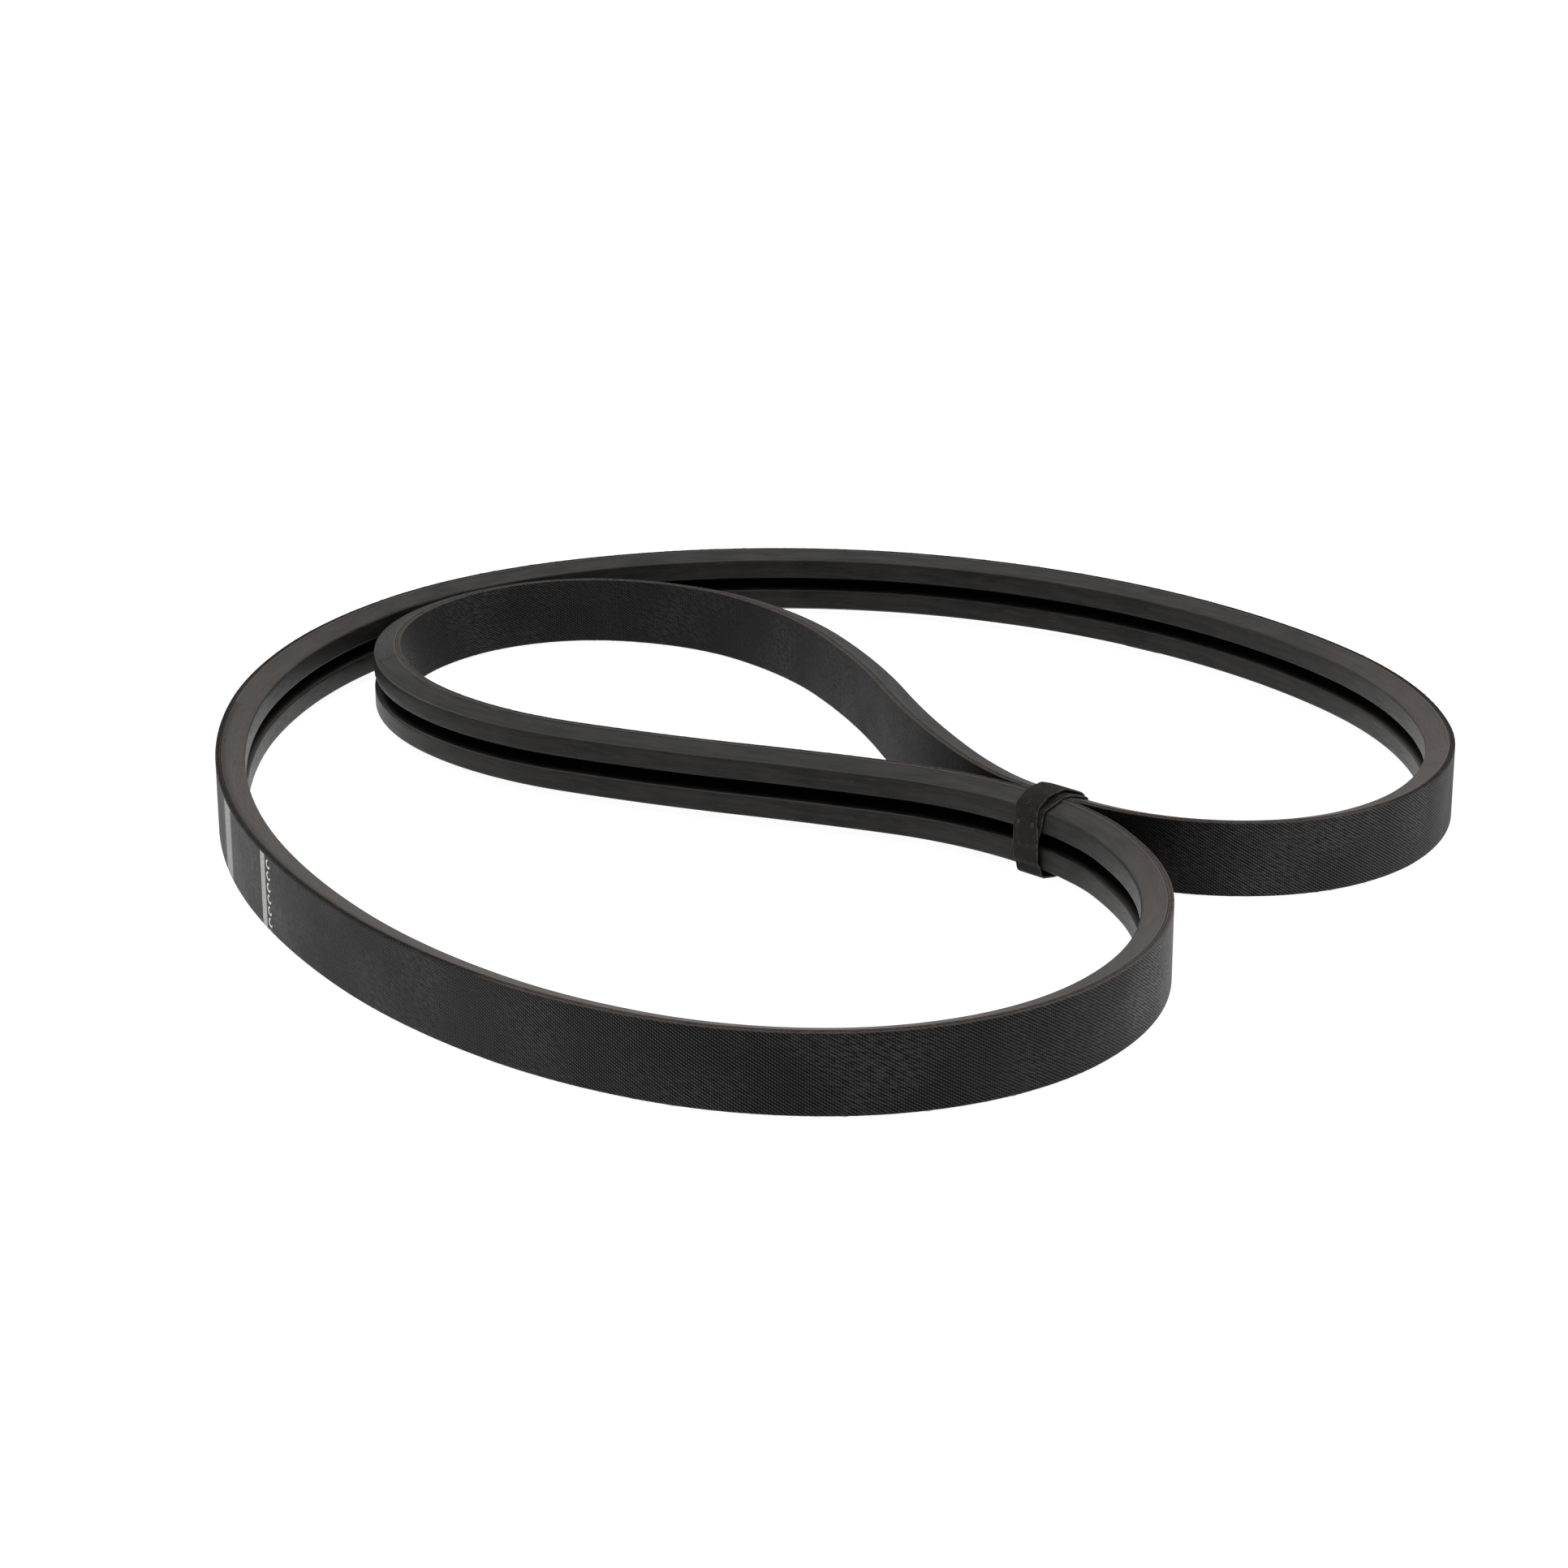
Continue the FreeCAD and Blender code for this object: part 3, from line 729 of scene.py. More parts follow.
def jacket_material():
    """Smooth mould-pressed rubber over fabric: fine long scuffs and dust, painted light and shade along
    the belt and on the rib faces, painted highlights and shade at the corners and the bead, and painted
    shade in the groove.
    """
    nodes = Nodes("jacket_fabric")
    along, across = nodes.weave_coordinates()
    streaks = nodes.drawn_noise(along, across, 0.06, 1300.0)
    broad = nodes.drawn_noise(along, across, 0.12, 260.0)
    patches = nodes.noise(nodes.vector(along, nodes.times(across, 2.0)), 30.0, 4.0)
    specks = nodes.between(nodes.noise(nodes.vector(along, across), 1100.0, 2.0), 0.69, 0.77)
    dusty = nodes.painted(
        nodes.mix(nodes.between(patches, 0.35, 0.7), (0.011, 0.0104, 0.0098), (0.021, 0.0198, 0.0186)),
        (nodes.between(broad, 0.42, 0.62, 0.0, 0.6), (0.032, 0.0298, 0.0275)),
        (nodes.between(streaks, 0.5, 0.75, 0.0, 0.5), (0.058, 0.053, 0.048)),
        (nodes.times(specks, 0.4), DUST),
    )
    half_face = RIB_FACE_WIDTH / 2
    off_middle = nodes.gap(across, JACKET_GIRTH / 2)
    on_face = nodes.fading(off_middle, half_face - 0.6 * MM, half_face + 0.9 * MM)
    # The rib faces are painted darker than the flanks, less so along the inner loop: painted shade.
    face_shade = nodes.linear(nodes.stretch(along, *INNER_LOOP_RUN, 0.1), 0.3, -0.4)
    # Painted light and shade along the belt, times the painted shade on the rib faces.
    tone = nodes.times(nodes.tone(along, JACKET_PAINTED_LIGHT), nodes.linear(on_face, face_shade, 1.0))

    off_corner = nodes.gap(off_middle, half_face + 0.2 * MM)
    corner_line = nodes.fading(off_corner, 0.25 * MM, 0.6 * MM)
    # A pale painted highlight along the corner between flank and face.
    wear_and_highlight = nodes.times(corner_line, nodes.stretch(along, *HIGHLIT_CORNERS, 0.06))
    corner_band = nodes.fading(off_corner, 0.5 * MM, 1.3 * MM)
    # A dark painted shade along the same corner.
    corner_shade = nodes.times(corner_band, nodes.stretch(along, *SHADED_CORNERS, 0.04))
    from_seam = nodes.minus(JACKET_GIRTH / 2, off_middle)
    # A pale painted highlight on the bead, and a near-black painted shade in the crevice where the jacket
    # meets the tie band.
    bead_highlight = nodes.stretch(from_seam, JACKET_BEAD_AT, JACKET_BEAD_AT + 1.3 * MM, 0.35 * MM)
    crevice_shade = nodes.stretch(from_seam, JACKET_BEAD_AT - 0.9 * MM, JACKET_BEAD_AT + 0.25 * MM, 0.25 * MM)
    beside_band = nodes.between(from_seam, JACKET_BEAD_AT + 0.5 * MM, JACKET_BEAD_AT + 5 * MM, 0.75, 0.0)
    # Painted shade on the flank beside the tie band, from DARK_EDGE_FROM on.
    flank_shade = nodes.times(beside_band, nodes.between(along, DARK_EDGE_FROM - 0.04, DARK_EDGE_FROM + 0.05))
    # Painted shade in the groove between the ribs.
    groove_shade = nodes.between(nodes.gap(nodes.height(), BELT_WIDTH / 2), 2.9 * MM, 4.3 * MM, 0.9, 0.0)
    colour = nodes.painted(
        nodes.scaled(dusty, tone),
        # Brownish where the painted light is brightest.
        (nodes.between(tone, 1.0, 1.3, 0.0, 0.55), (0.064, 0.045, 0.036)),
        (nodes.times(wear_and_highlight, 0.5), (0.075, 0.07, 0.064)),
        (nodes.times(corner_shade, 0.6), (0.006, 0.0055, 0.005)),
        (nodes.times(bead_highlight, nodes.between(streaks, 0.3, 0.6, 0.15, 0.6)), (0.075, 0.068, 0.062)),
        (nodes.times(crevice_shade, 0.9), (0.0015, 0.0014, 0.0013)),
        (flank_shade, (0.024, 0.017, 0.014)),
        (groove_shade, (0.0012, 0.0012, 0.0012)),
    )
    shine = nodes.times(nodes.linear(groove_shade, -0.18, 0.22), nodes.math("MINIMUM", tone, 1.25))
    specular = nodes.times(shine, nodes.linear(flank_shade, -0.7, 1.0))
    nodes.bump(nodes.linear(patches, 0.5, streaks), 0.05 * MM, 0.6)
    return nodes.finish(colour, nodes.between(streaks, 0.3, 0.75, 0.36, 0.52), specular)


def grained_material(name, dark, light, grain):
    """Rubber or pile of an uneven colour, with one of the grains named below."""
    scale, coarseness, depth, strength, roughest, specular, sheen = grain
    nodes = Nodes(name)
    noise = nodes.noise(nodes.place(), scale, 4.0, coarseness)
    nodes.bump(noise, depth, strength)
    colour = nodes.mix(nodes.between(noise, 0.3, 0.7), dark, light)
    return nodes.finish(colour, nodes.between(noise, 0.3, 0.7, 0.5, roughest), specular, sheen)


def cord_material():
    """Tan dipped polyester cord with its twist."""
    nodes = Nodes("tension_cord")
    place = nodes.place()
    x, y, z = nodes.split(place)
    run = nodes.plus(nodes.plus(x, y), z)
    twist = nodes.ridges(run, 1.4 * MM)
    fibres = nodes.noise(place, 2500.0, 3.0)
    dark = nodes.mix(fibres, (0.30, 0.22, 0.13), (0.42, 0.33, 0.22))
    colour = nodes.mix(twist, dark, (0.62, 0.53, 0.40))
    nodes.bump(twist, 0.1 * MM, 0.8)
    return nodes.finish(colour, nodes.between(fibres, 0.3, 0.7, 0.6, 0.75), 0.3)


def webbing_material():
    """Dark brown-black woven tape: fine cross ribs, fuzz, and paler rolled selvedges, partly lighter
    fuzzy threads and partly painted highlight.
    """
    nodes = Nodes("strap_webbing")
    along, across = nodes.weave_coordinates()
    ribs = nodes.ridges(along, TAPE_RIB_PITCH)
    warp = nodes.ridges(across, 0.9 * MM)
    plane = nodes.vector(along, across)
    fuzz = nodes.noise(plane, 2200.0, 3.0, 0.7)
    wear_and_highlight = nodes.noise(plane, 260.0, 3.0)
    weave = nodes.times(nodes.linear(ribs, 0.7, 0.3), warp)
    dark = nodes.mix(fuzz, (0.0028, 0.0025, 0.0022), (0.0105, 0.0095, 0.0085))
    around = nodes.math("FLOORED_MODULO", across, WEBBING_SIDE)
    # Paler selvedges: partly lighter fuzzy threads, partly painted highlight.
    selvedge_threads_and_highlight = nodes.between(nodes.gap(around, 8.25 * MM), 7.4 * MM, 7.8 * MM)
    patchy = nodes.times(
        nodes.between(fuzz, 0.3, 0.6, 0.3, 1.0),
        nodes.between(wear_and_highlight, 0.4, 0.6, 0.25, 1.0),
    )
    colour = nodes.painted(
        nodes.mix(nodes.times(weave, 0.75), dark, (0.0235, 0.0215, 0.0193)),
        (nodes.between(wear_and_highlight, 0.5, 0.72, 0.0, 0.35), (0.045, 0.042, 0.038)),
        (nodes.times(selvedge_threads_and_highlight, patchy), (0.085, 0.082, 0.077)),
    )
    nodes.bump(nodes.linear(fuzz, 0.6, weave), 0.18 * MM, 0.9)
    return nodes.finish(colour, nodes.between(fuzz, 0.3, 0.7, 0.6, 0.8), 0.1, 0.05)


# Noise scale and coarseness, bump depth and strength, greatest roughness, specular level, sheen.
RUBBER = (700.0, 0.55, 0.05 * MM, 0.6, 0.7, 0.4, 0.0)
PILE = (3000.0, 0.7, 0.1 * MM, 0.9, 0.75, 0.35, 0.1)
GRAINED = {
    "cushion_rubber": ((0.02, 0.02, 0.02), (0.045, 0.045, 0.045), RUBBER),
    "base_rubber": ((0.015, 0.015, 0.015), (0.04, 0.04, 0.04), RUBBER),
    "cord_gum": ((0.06, 0.05, 0.042), (0.11, 0.095, 0.08), RUBBER),
    "strap_loop": ((0.006, 0.006, 0.006), (0.03, 0.029, 0.027), PILE),
    "strap_hook": ((0.010, 0.010, 0.010), (0.03, 0.03, 0.03), PILE),
    "strap_thread": ((0.02, 0.02, 0.02), (0.09, 0.09, 0.088), PILE),
    "worn_thread": ((0.035, 0.033, 0.030), (0.13, 0.125, 0.115), PILE),
}
FINISHES = {name: grained_material(name, *look) for name, look in GRAINED.items()}
FINISHES["band_fabric"] = band_fabric_material()
FINISHES["band_rubber"] = edge_rubber_material()
FINISHES["jacket_fabric"] = jacket_material()
FINISHES["tension_cord"] = cord_material()
FINISHES["strap_webbing"] = webbing_material()


def dress(piece, body, slot, replaces=(), finish=None):
    """Gives a piece the finish of its slot or another, attaches it to its body, and hides the CAD nodes
    it stands for.
    """
    piece.data.materials.append(FINISHES[finish or slot])
    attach(piece, body)
    if replaces:
        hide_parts(*replaces)


# ---- tie band
def ply_outline(start, end, edge, near, far):
    """A ply's section, in from the belt's sides by edge, with corners of radius near and far."""
    high = BELT_WIDTH - edge
    return rounded([(start, edge, near), (end, edge, far), (end, high, far), (start, high, near)])


def make_tie_band():
    """The band's three plies. The rubber stands in from the fabric plies' edges and is rougher."""
    rubber_end = OUTER_PLY + BAND_RUBBER
    plies = [
        ("back_ply", "outer_fabric", 0.0, OUTER_PLY, 0.0, 0.45 * MM, 0.2 * MM),
        ("middle_rubber", "rubber", OUTER_PLY, rubber_end, 0.32 * MM, 0.1 * MM, 0.1 * MM),
        ("front_ply", "inner_fabric", rubber_end, BAND_DEPTH, 0.05 * MM, 0.2 * MM, 0.2 * MM),
    ]
    for seed, (name, node, *section) in enumerate(plies):
        slot = "band_rubber" if node == "rubber" else "band_fabric"
        piece = swept("tie_band_" + name, ply_outline(*section), CUT_ROUGHNESS[slot], seed)
        dress(piece, "belt", slot, ["tie_band_" + node])


def make_edge_fibres():
    """Short frayed fibres that lie along the tie band's two cut edges."""
    random = np.random.default_rng(7)
    start = random.uniform(0, ROUTE.length - 4 * MM, EDGE_FIBRES)
    length = random.uniform(0.9, 2.6, EDGE_FIBRES) * MM
    depth = random.uniform(0.1, 2.4, EDGE_FIBRES) * MM
    drift = random.uniform(-0.35, 0.35, EDGE_FIBRES) * MM
    rise = random.uniform(0.04, 0.32, EDGE_FIBRES) * MM
    upper = random.random(EDGE_FIBRES) < 0.5
    paths = []
    for share in np.linspace(0, 1, 5):
        places, to_ribs = ROUTE.at(start + length * share)
        out = rise * math.sin(math.pi * (0.08 + 0.7 * share)) - 0.05 * MM
        height = np.where(upper, BELT_WIDTH + out, -out) + EDGE_HEIGHT
        flat = places + to_ribs * (depth + drift * share)[:, None]
        paths.append(np.concatenate([flat, height[:, None]], axis=1))
    fibres = threads("band_edge_fibres", np.stack(paths, axis=1), FIBRE_RADIUS, 4)
    dress(fibres, "belt", "band_fabric", finish="band_rubber")


# ---- rib jackets
def jacket_outline(centre):
    """Outside of a jacket with the low bead where it leaves the tie band, and its inside."""
    wall = JACKET / math.cos(math.atan(RIB_SLOPE))
    bead = 0.25 * MM
    bead_end = BAND_DEPTH + 1.1 * MM
    core_top = BAND_DEPTH + JACKET
    butt = 0.05 * MM

    def corner(depth, out, radius):
        return depth, rib_half_width(depth) + out, radius

    def half(corners, side):
        return [(depth, centre + side * out, radius) for depth, out, radius in corners]

    outside = [
        (BAND_DEPTH, butt, 0),
        corner(BAND_DEPTH, -0.35 * MM, 0),
        corner(BAND_DEPTH + 0.25 * MM, bead, 0.2 * MM),
        corner(bead_end, bead, 0.2 * MM),
        corner(bead_end + 0.3 * MM, 0.0, 0.2 * MM),
        corner(BELT_THICKNESS, 0.0, RIB_CORNER_RADIUS),
    ]
    inside = [
        (core_top, butt, 0),
        corner(core_top, -wall, 0),
        corner(BELT_THICKNESS - JACKET, -wall, RIB_CORNER_RADIUS - JACKET),
    ]
    outer_ring = half(outside, 1) + half(outside[::-1], -1)
    return rounded(outer_ring + half(inside, -1) + half(inside[::-1], 1))


def make_jackets():
    for name, centre in RIB_CENTRES.items():
        piece = swept(name + "_jacket", jacket_outline(centre), laps=LAPS[name], middle=centre)
        dress(piece, "belt", "jacket_fabric", [name + "_fabric_jacket"])


# ---- strap
STRAP_HEADING = PINCH_HEADING - math.pi
STRAP_ALONG = heading_vector(STRAP_HEADING)
STRAP_FRONT = np.array([STRAP_ALONG[1], -STRAP_ALONG[0]])
PINCH_REACH = PINCH_GAP / 2 + BELT_THICKNESS
FIRST_TURN = STRAP_CLEARANCE + WEBBING / 2
SECOND_TURN = FIRST_TURN + WEBBING + LAYER_GAP
LOOP_PAD_FACE = PINCH_REACH + STRAP_CLEARANCE + WEBBING
HOOK_PAD_FACE = LOOP_PAD_FACE + PAD_DEPTH + PAD_CLEARANCE
TAB_MIDDLE = HOOK_PAD_FACE + PAD_DEPTH + WEBBING / 2


def strap_places(across, along, height):
    """Points in the row frame from distances in front of the pinch, along it and above the edge."""
    across, along, height = np.broadcast_arrays(across, along, height)
    flat = PINCH_CENTRE + across[..., None] * STRAP_FRONT + along[..., None] * STRAP_ALONG
    return np.concatenate([flat, (height + EDGE_HEIGHT)[..., None]], axis=-1)


def pinch_corners(grow):
    """The eight corners round both strands, all sides moved out by grow."""
    face_high = RIB_CENTRES["upper_rib"] + RIB_FACE_WIDTH / 2
    ridge_reach = PINCH_GAP / 2 + BAND_DEPTH
    slope = (BELT_WIDTH - face_high) / (PINCH_REACH - ridge_reach)
    flank_rise = grow * math.hypot(1, slope)
    reach = PINCH_REACH + grow
    face_height = face_high + flank_rise - grow * slope
    ridge = ridge_reach + (flank_rise - grow) / slope
    upper = [
        (reach, face_height, RIB_CORNER_RADIUS + grow),
        (ridge, BELT_WIDTH + grow, RIDGE_RADIUS + grow),
        (-ridge, BELT_WIDTH + grow, RIDGE_RADIUS + grow),
        (-reach, face_height, RIB_CORNER_RADIUS + grow),
    ]
    return upper + [(-across, BELT_WIDTH - height, radius) for across, height, radius in upper]


def tab_turn(second):
    """Where the second turn leaves the rear flank and drops to the tab."""
    ridge, foot = second[2], second[3]
    slope = (ridge[1] - foot[1]) / (ridge[0] - foot[0])
    return ridge[1] - slope * (ridge[0] + TAB_MIDDLE)


def wrap_shape(path, run):
    """Half width, sideways stray, outward lift and rib depth at each point of the wrap.

    The second turn lies a little proud of the first, and past the seam it is the ribbed tape."""
    front = PINCH_REACH + FIRST_TURN
    second_turn = run > run[np.argmax(path[:, 0] > front + LAYER_GAP)]
    tape_from = run[np.argmax(second_turn & (path[:, 1] > TAPE_START))]
    keys = [tape_from - 0.5 * MM, tape_from + 0.4 * MM, run[-1]]
    half_width = np.interp(run, keys, [STRAP_WIDTH / 2, TAPE_WIDTH / 2, STRAP_WIDTH / 2])
    on_tape = np.interp(run, [tape_from, tape_from + 0.4 * MM], [0.0, 1.0])
    lift = np.where(second_turn, 0.16 - 0.18 * on_tape, 0.0) * MM
    ribs = (0.012 + 0.085 * on_tape) * MM
    distances, shifts = np.array(STRAY).T
    return half_width, np.interp(run, distances, shifts), lift, ribs


def end_shape(path, run):
    """The same for the strap's free end, whose two last corners are round."""
    half_width = STRAP_WIDTH / 2
    room = np.clip(run[-1] - run, 0, TAB_CORNER)
    inset = TAB_CORNER - np.sqrt(np.maximum(TAB_CORNER**2 - (TAB_CORNER - room) ** 2, 0))
    distances, shifts = np.array(END_STRAY).T
    flat = np.zeros_like(run)
    return half_width - inset, np.interp(run, distances, shifts), flat, flat + 0.03 * MM


def ribbon(name, path, shape):
    """Webbing that follows a path of (across, height) points, with rounded edges."""
    run = running_length(path, False)
    tangent = np.gradient(path, axis=0)
    tangent /= np.hypot(*tangent.T)[:, None]
    normal = np.stack([-tangent[:, 1], tangent[:, 0]], axis=1)
    if ((path - path.mean(axis=0)) * normal).sum() < 0:
        normal = -normal
    half = STRAP_WIDTH / 2
    thick = WEBBING / 2 - 0.02 * MM
    corners = [(half, thick), (-half, thick), (-half, -thick), (half, -thick)]
    edge = rounded([(across, height, thick * 0.9) for across, height in corners], 0.8 * MM)
    half_width, shift, lift, ribs = shape(path, run)
    rib = np.sin(2 * math.pi * run / TAPE_RIB_PITCH) * ribs
    sideways = shift[:, None] + edge[None, :, 0] * (half_width / half)[:, None]
    outwards = edge[None, :, 1] + lift[:, None] + rib[:, None] * (edge[None, :, 1] > 0)
    across = path[:, 0, None] + normal[:, 0, None] * outwards
    height = path[:, 1, None] + normal[:, 1, None] * outwards
    return grid_mesh(name, strap_places(across, sideways, height), run, running_length(edge, True), False)


def make_wrap():
    front = PINCH_REACH + FIRST_TURN
    jog = [(front, JOG_START, JOG_RADIUS), (PINCH_REACH + SECOND_TURN, JOG_END, JOG_RADIUS)]
    round_belt = pinch_corners(FIRST_TURN)[:-1] + [(front, *SLACK_FOOT)]
    corners = [(front, INNER_END_HEIGHT, 0)] + round_belt + jog + ARCH + [ARCH_END]
    wrap = ribbon("strap_wrap", rounded(corners, 0.3 * MM, False), wrap_shape)
    dress(wrap, "strap", "strap_webbing", ["strap_webbing"])


def make_free_end(webbing_end, tab_low):
    """The strap's free end, from the top of its arch round the turn down to the tab."""
    turn_height = webbing_end + TAB_TURN_DROP
    corners = [ARCH_END, (-TAB_MIDDLE, turn_height, TAB_BEND_RADIUS), (-TAB_MIDDLE, tab_low, 0)]
    end = ribbon("strap_end", rounded(corners, 0.3 * MM, False), end_shape)
    end.data.materials.append(FINISHES["strap_webbing"])
    bend_from = tuple(strap_places(-TAB_MIDDLE, 0.0, webbing_end + 1.2 * MM))
    bend_to = tuple(strap_places(-TAB_MIDDLE, 0.0, webbing_end - 2.6 * MM))
    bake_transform(end)
    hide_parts("strap_end_tab")


def make_bar_tacks():
    """Tight zigzags of pale worn thread at both ends of the seam on the strap's front."""
    across = PINCH_REACH + SECOND_TURN + WEBBING / 2 + 0.16 * MM
    paths = []
    for side in (-1, 1):
        for number in range(TACK_THREADS):
            off_centre = (number - (TACK_THREADS - 1) / 2) * TACK_SPACING
            centre = TAPE_STRAY + side * (TAPE_WIDTH / 2 - 2.6 * MM) + off_centre
            share = np.linspace(-1, 1, 6)
            along = centre + share * 0.2 * MM
            height = TAPE_START + 0.6 * MM + share * 1.2 * MM
            bulge = across + 0.10 * MM * (1 - share**4) - 0.06 * MM
            paths.append(strap_places(bulge, along, height))
    tacks = threads("strap_bar_tacks", paths, TACK_RADIUS, 6)
    dress(tacks, "strap", "strap_thread", finish="worn_thread")


def plate(name, corners, near, far):
    """A flat pad on the strap's rear, between two distances behind the pinch, with eased edges."""
    ease = 0.1 * MM
    outline = rounded(corners, 2 * MM)
    inwards = outline.mean(axis=0) - outline
    inwards *= ease / np.hypot(*inwards.T)[:, None]
    rows = []
    for distance, inset in ((near, 1), (near + ease, 0), (far - ease, 0), (far, 1)):
        ring = outline + inwards * inset
        rows.append(strap_places(-distance, ring[:, 0], ring[:, 1]))
    rows_uv = np.array([0, ease, far - near, far])
    return grid_mesh(name, np.stack(rows), rows_uv, running_length(outline, True), False)


def pad_corners(low, high, corner):
    half = PAD_WIDTH / 2
    return [(-half, low, corner), (half, low, corner), (half, high, 0), (-half, high, 0)]


def pad_grid(low, high, pitch, inset):
    """Even places over a pad, as distances along the strap's width and heights."""
    columns = round((PAD_WIDTH - 2 * inset) / pitch)
    rows = round((high - low - 2 * inset) / pitch)
    along = np.linspace(inset - PAD_WIDTH / 2, PAD_WIDTH / 2 - inset, columns)
    height = np.linspace(low + inset, high - inset, rows)
    grid = np.stack(np.meshgrid(along, height), axis=-1).reshape(-1, 2)
    corner = np.array([PAD_WIDTH / 2, low]) - TAB_CORNER * np.array([1, -1])
    past = np.maximum(np.stack([np.abs(grid[:, 0]) - corner[0], corner[1] - grid[:, 1]], 1), 0)
    return grid[np.hypot(*past.T) < TAB_CORNER - inset]


def make_loop_pad():
    """Brushed pile: a thin backing and many small crooked loops."""
    backing = LOOP_PAD_FACE + PAD_BACKING
    base = plate("loop_pad_backing", pad_corners(LOOP_PAD_LOW, LOOP_PAD_HIGH, 0), LOOP_PAD_FACE, backing)
    dress(base, "strap", "strap_loop", ["strap_loop_pad"])
    random = np.random.default_rng(11)
    feet = pad_grid(LOOP_PAD_LOW, LOOP_PAD_HIGH, LOOP_PITCH, 0.45 * MM)
    feet = feet + random.uniform(-0.2, 0.2, feet.shape) * MM
    turn = random.uniform(0, math.pi, len(feet))
    width = random.uniform(0.18, 0.34, len(feet)) * MM
    rise = random.uniform(0.26, 0.40, len(feet)) * MM
    paths = []
    for angle in np.linspace(0, math.pi, 7):
        reach = -np.cos(angle) * width
        along = feet[:, 0] + reach * np.cos(turn)
        height = feet[:, 1] + reach * np.sin(turn)
        paths.append(strap_places(-(backing - 0.02 * MM + rise * math.sin(angle)), along, height))
    loops = threads("loop_pad_loops", np.stack(paths, axis=1), LOOP_RADIUS, 4)
    dress(loops, "strap", "strap_loop")


def make_hook_pad(low, high):
    """Hook tape: a thin backing and rows of small hooks that face up and down in turn."""
    face = HOOK_PAD_FACE + PAD_DEPTH
    backing = face - PAD_BACKING
    base = plate("hook_pad_backing", pad_corners(low, high, TAB_CORNER), backing, face)
    dress(base, "strap_tab", "strap_hook", ["strap_hook_pad"])
    feet = pad_grid(low, high, HOOK_PITCH, 0.6 * MM)
    facing = np.where(np.round(feet[:, 1] / HOOK_PITCH) % 2 > 0, 1.0, -1.0)
    curl = 0.14 * MM
    stem = 0.24 * MM
    paths = [strap_places(-(backing + 0.02 * MM), feet[:, 0], feet[:, 1])]
    for angle in np.linspace(0, 0.85 * math.pi, 6):
        distance = backing - stem - curl * math.sin(angle)
        height = feet[:, 1] + facing * curl * (1 - math.cos(angle))
        paths.append(strap_places(-distance, feet[:, 0], height))
    hooks = threads("hook_pad_hooks", np.stack(paths, axis=1), HOOK_RADIUS, 5)
    dress(hooks, "strap_tab", "strap_hook")


def make_tab_stitching(low, high):
    """A box of lock stitches of two-strand thread, sunk at both ends into the tab."""
    side = PAD_WIDTH / 2 - STITCH_MARGIN
    bottom = low + STITCH_MARGIN
    top = high - STITCH_MARGIN
    corners = np.array([(-side, bottom), (side, bottom), (side, top), (-side, top)])
    share = np.linspace(-1, 1, 13)
    reach = share * STITCH_LENGTH / 2
    sag = STITCH_SAG * share**6
    paths = []
    for start, end in zip(corners, np.roll(corners, -1, axis=0)):
        run = end - start
        along = unit(run)
        count = int(math.hypot(*run) / STITCH_PITCH)
        for number in range(count):
            centre = start + run * (number + 0.5) / count
            for phase in (0.0, math.pi):
                twist = phase + share * 1.5 * math.pi
                distance = TAB_MIDDLE + WEBBING / 2 + 0.02 * MM - sag + STRAND_OFFSET * np.cos(twist)
                aside = STRAND_OFFSET * np.sin(twist)
                place = centre + np.outer(reach, along) + np.outer(aside, along[::-1])
                paths.append(strap_places(-distance, *place.T))
    stitching = threads("tab_stitching", paths, STRAND_RADIUS, 6)
    dress(stitching, "strap_tab", "strap_thread", ["strap_tab_stitching"])


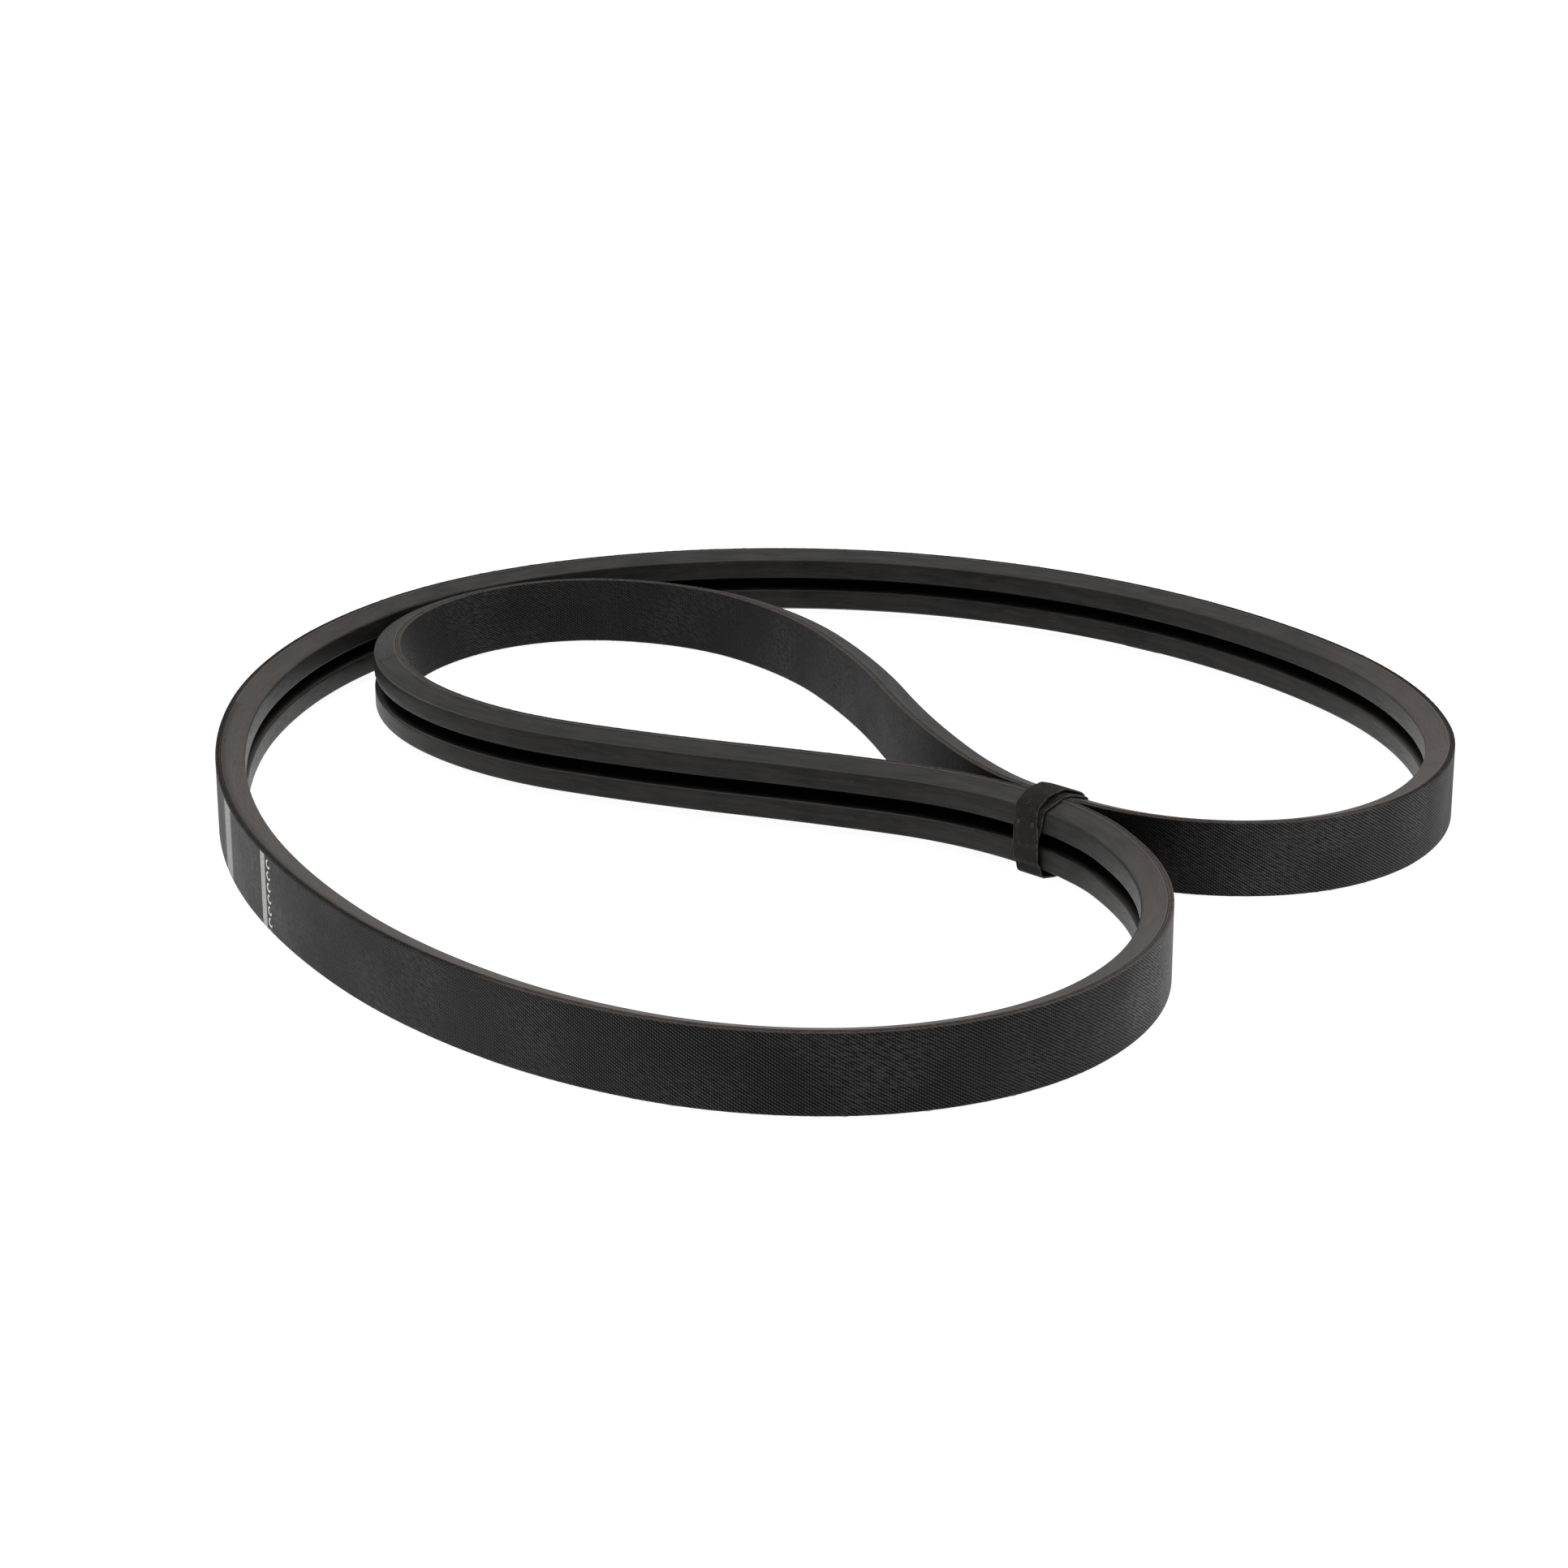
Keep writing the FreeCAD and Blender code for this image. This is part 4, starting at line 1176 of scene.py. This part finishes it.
def make_strap():
    webbing_end = tab_turn(pinch_corners(SECOND_TURN)) - TAB_TURN_DROP
    tab_low = webbing_end - TAB_LENGTH
    pad_low = tab_low + HOOK_PAD_INSET
    pad_high = webbing_end - TAB_GAP - HOOK_PAD_INSET
    make_wrap()
    make_free_end(webbing_end, tab_low)
    make_bar_tacks()
    make_loop_pad()
    make_hook_pad(pad_low, pad_high)
    make_tab_stitching(pad_low, pad_high)


# ---- studio
def make_studio():
    mesh = bpy.data.meshes.new("floor")
    sides = [(-1, -1), (1, -1), (1, 1), (-1, 1)]
    mesh.from_pydata([(x * FLOOR_REACH, y * FLOOR_REACH, 0) for x, y in sides], [], [(0, 1, 2, 3)])
    placed("floor", mesh)
    nodes = Nodes("floor")
    settings = {
        "Base Color": (0.25, 0.25, 0.25, 1),
        "Roughness": 0.9,
        "Specular IOR Level": 0.0,
        "Emission Color": (1, 1, 1, 1),
        "Emission Strength": FLOOR_GLOW,
    }
    for socket, value in settings.items():
        nodes.shader.inputs[socket].default_value = value
    mesh.materials.append(nodes.material)

    world = bpy.data.worlds.new("studio")
    world.use_nodes = True
    background = world.node_tree.nodes["Background"]
    background.inputs[0].default_value = (1, 1, 1, 1)
    background.inputs[1].default_value = WORLD_LIGHT
    bpy.context.scene.world = world

    for name, place, size, power in LIGHTS:
        light = bpy.data.lights.new(name, "AREA")
        light.shape = "SQUARE"
        light.size = size
        light.energy = power
        lamp = placed(name, light)
        lamp.location = place
        lamp.rotation_mode = "QUATERNION"
        lamp.rotation_quaternion = (-Vector(place)).to_track_quat("-Z", "Y")


def make_camera():
    data = bpy.data.cameras.new("camera")
    data.sensor_width = 36
    data.lens = CAMERA_LENS
    data.clip_end = 50
    camera = placed("camera", data)
    camera.location = CAMERA_PLACE
    camera.rotation_euler = (math.radians(90 - CAMERA_DOWN), math.radians(CAMERA_ROLL), 0)
    bpy.context.scene.camera = camera


# ---- build
make_tie_band()
make_edge_fibres()
make_jackets()
make_strap()

slots = {part["node"]: part["material_slot"] for part in frame["record"]["subparts"]}
for node_name, node in frame["nodes"].items():
    node.data.materials.clear()
    node.data.materials.append(FINISHES[slots[node_name]])

make_studio()
make_camera()
bpy.context.scene.view_settings.view_transform = "Standard"
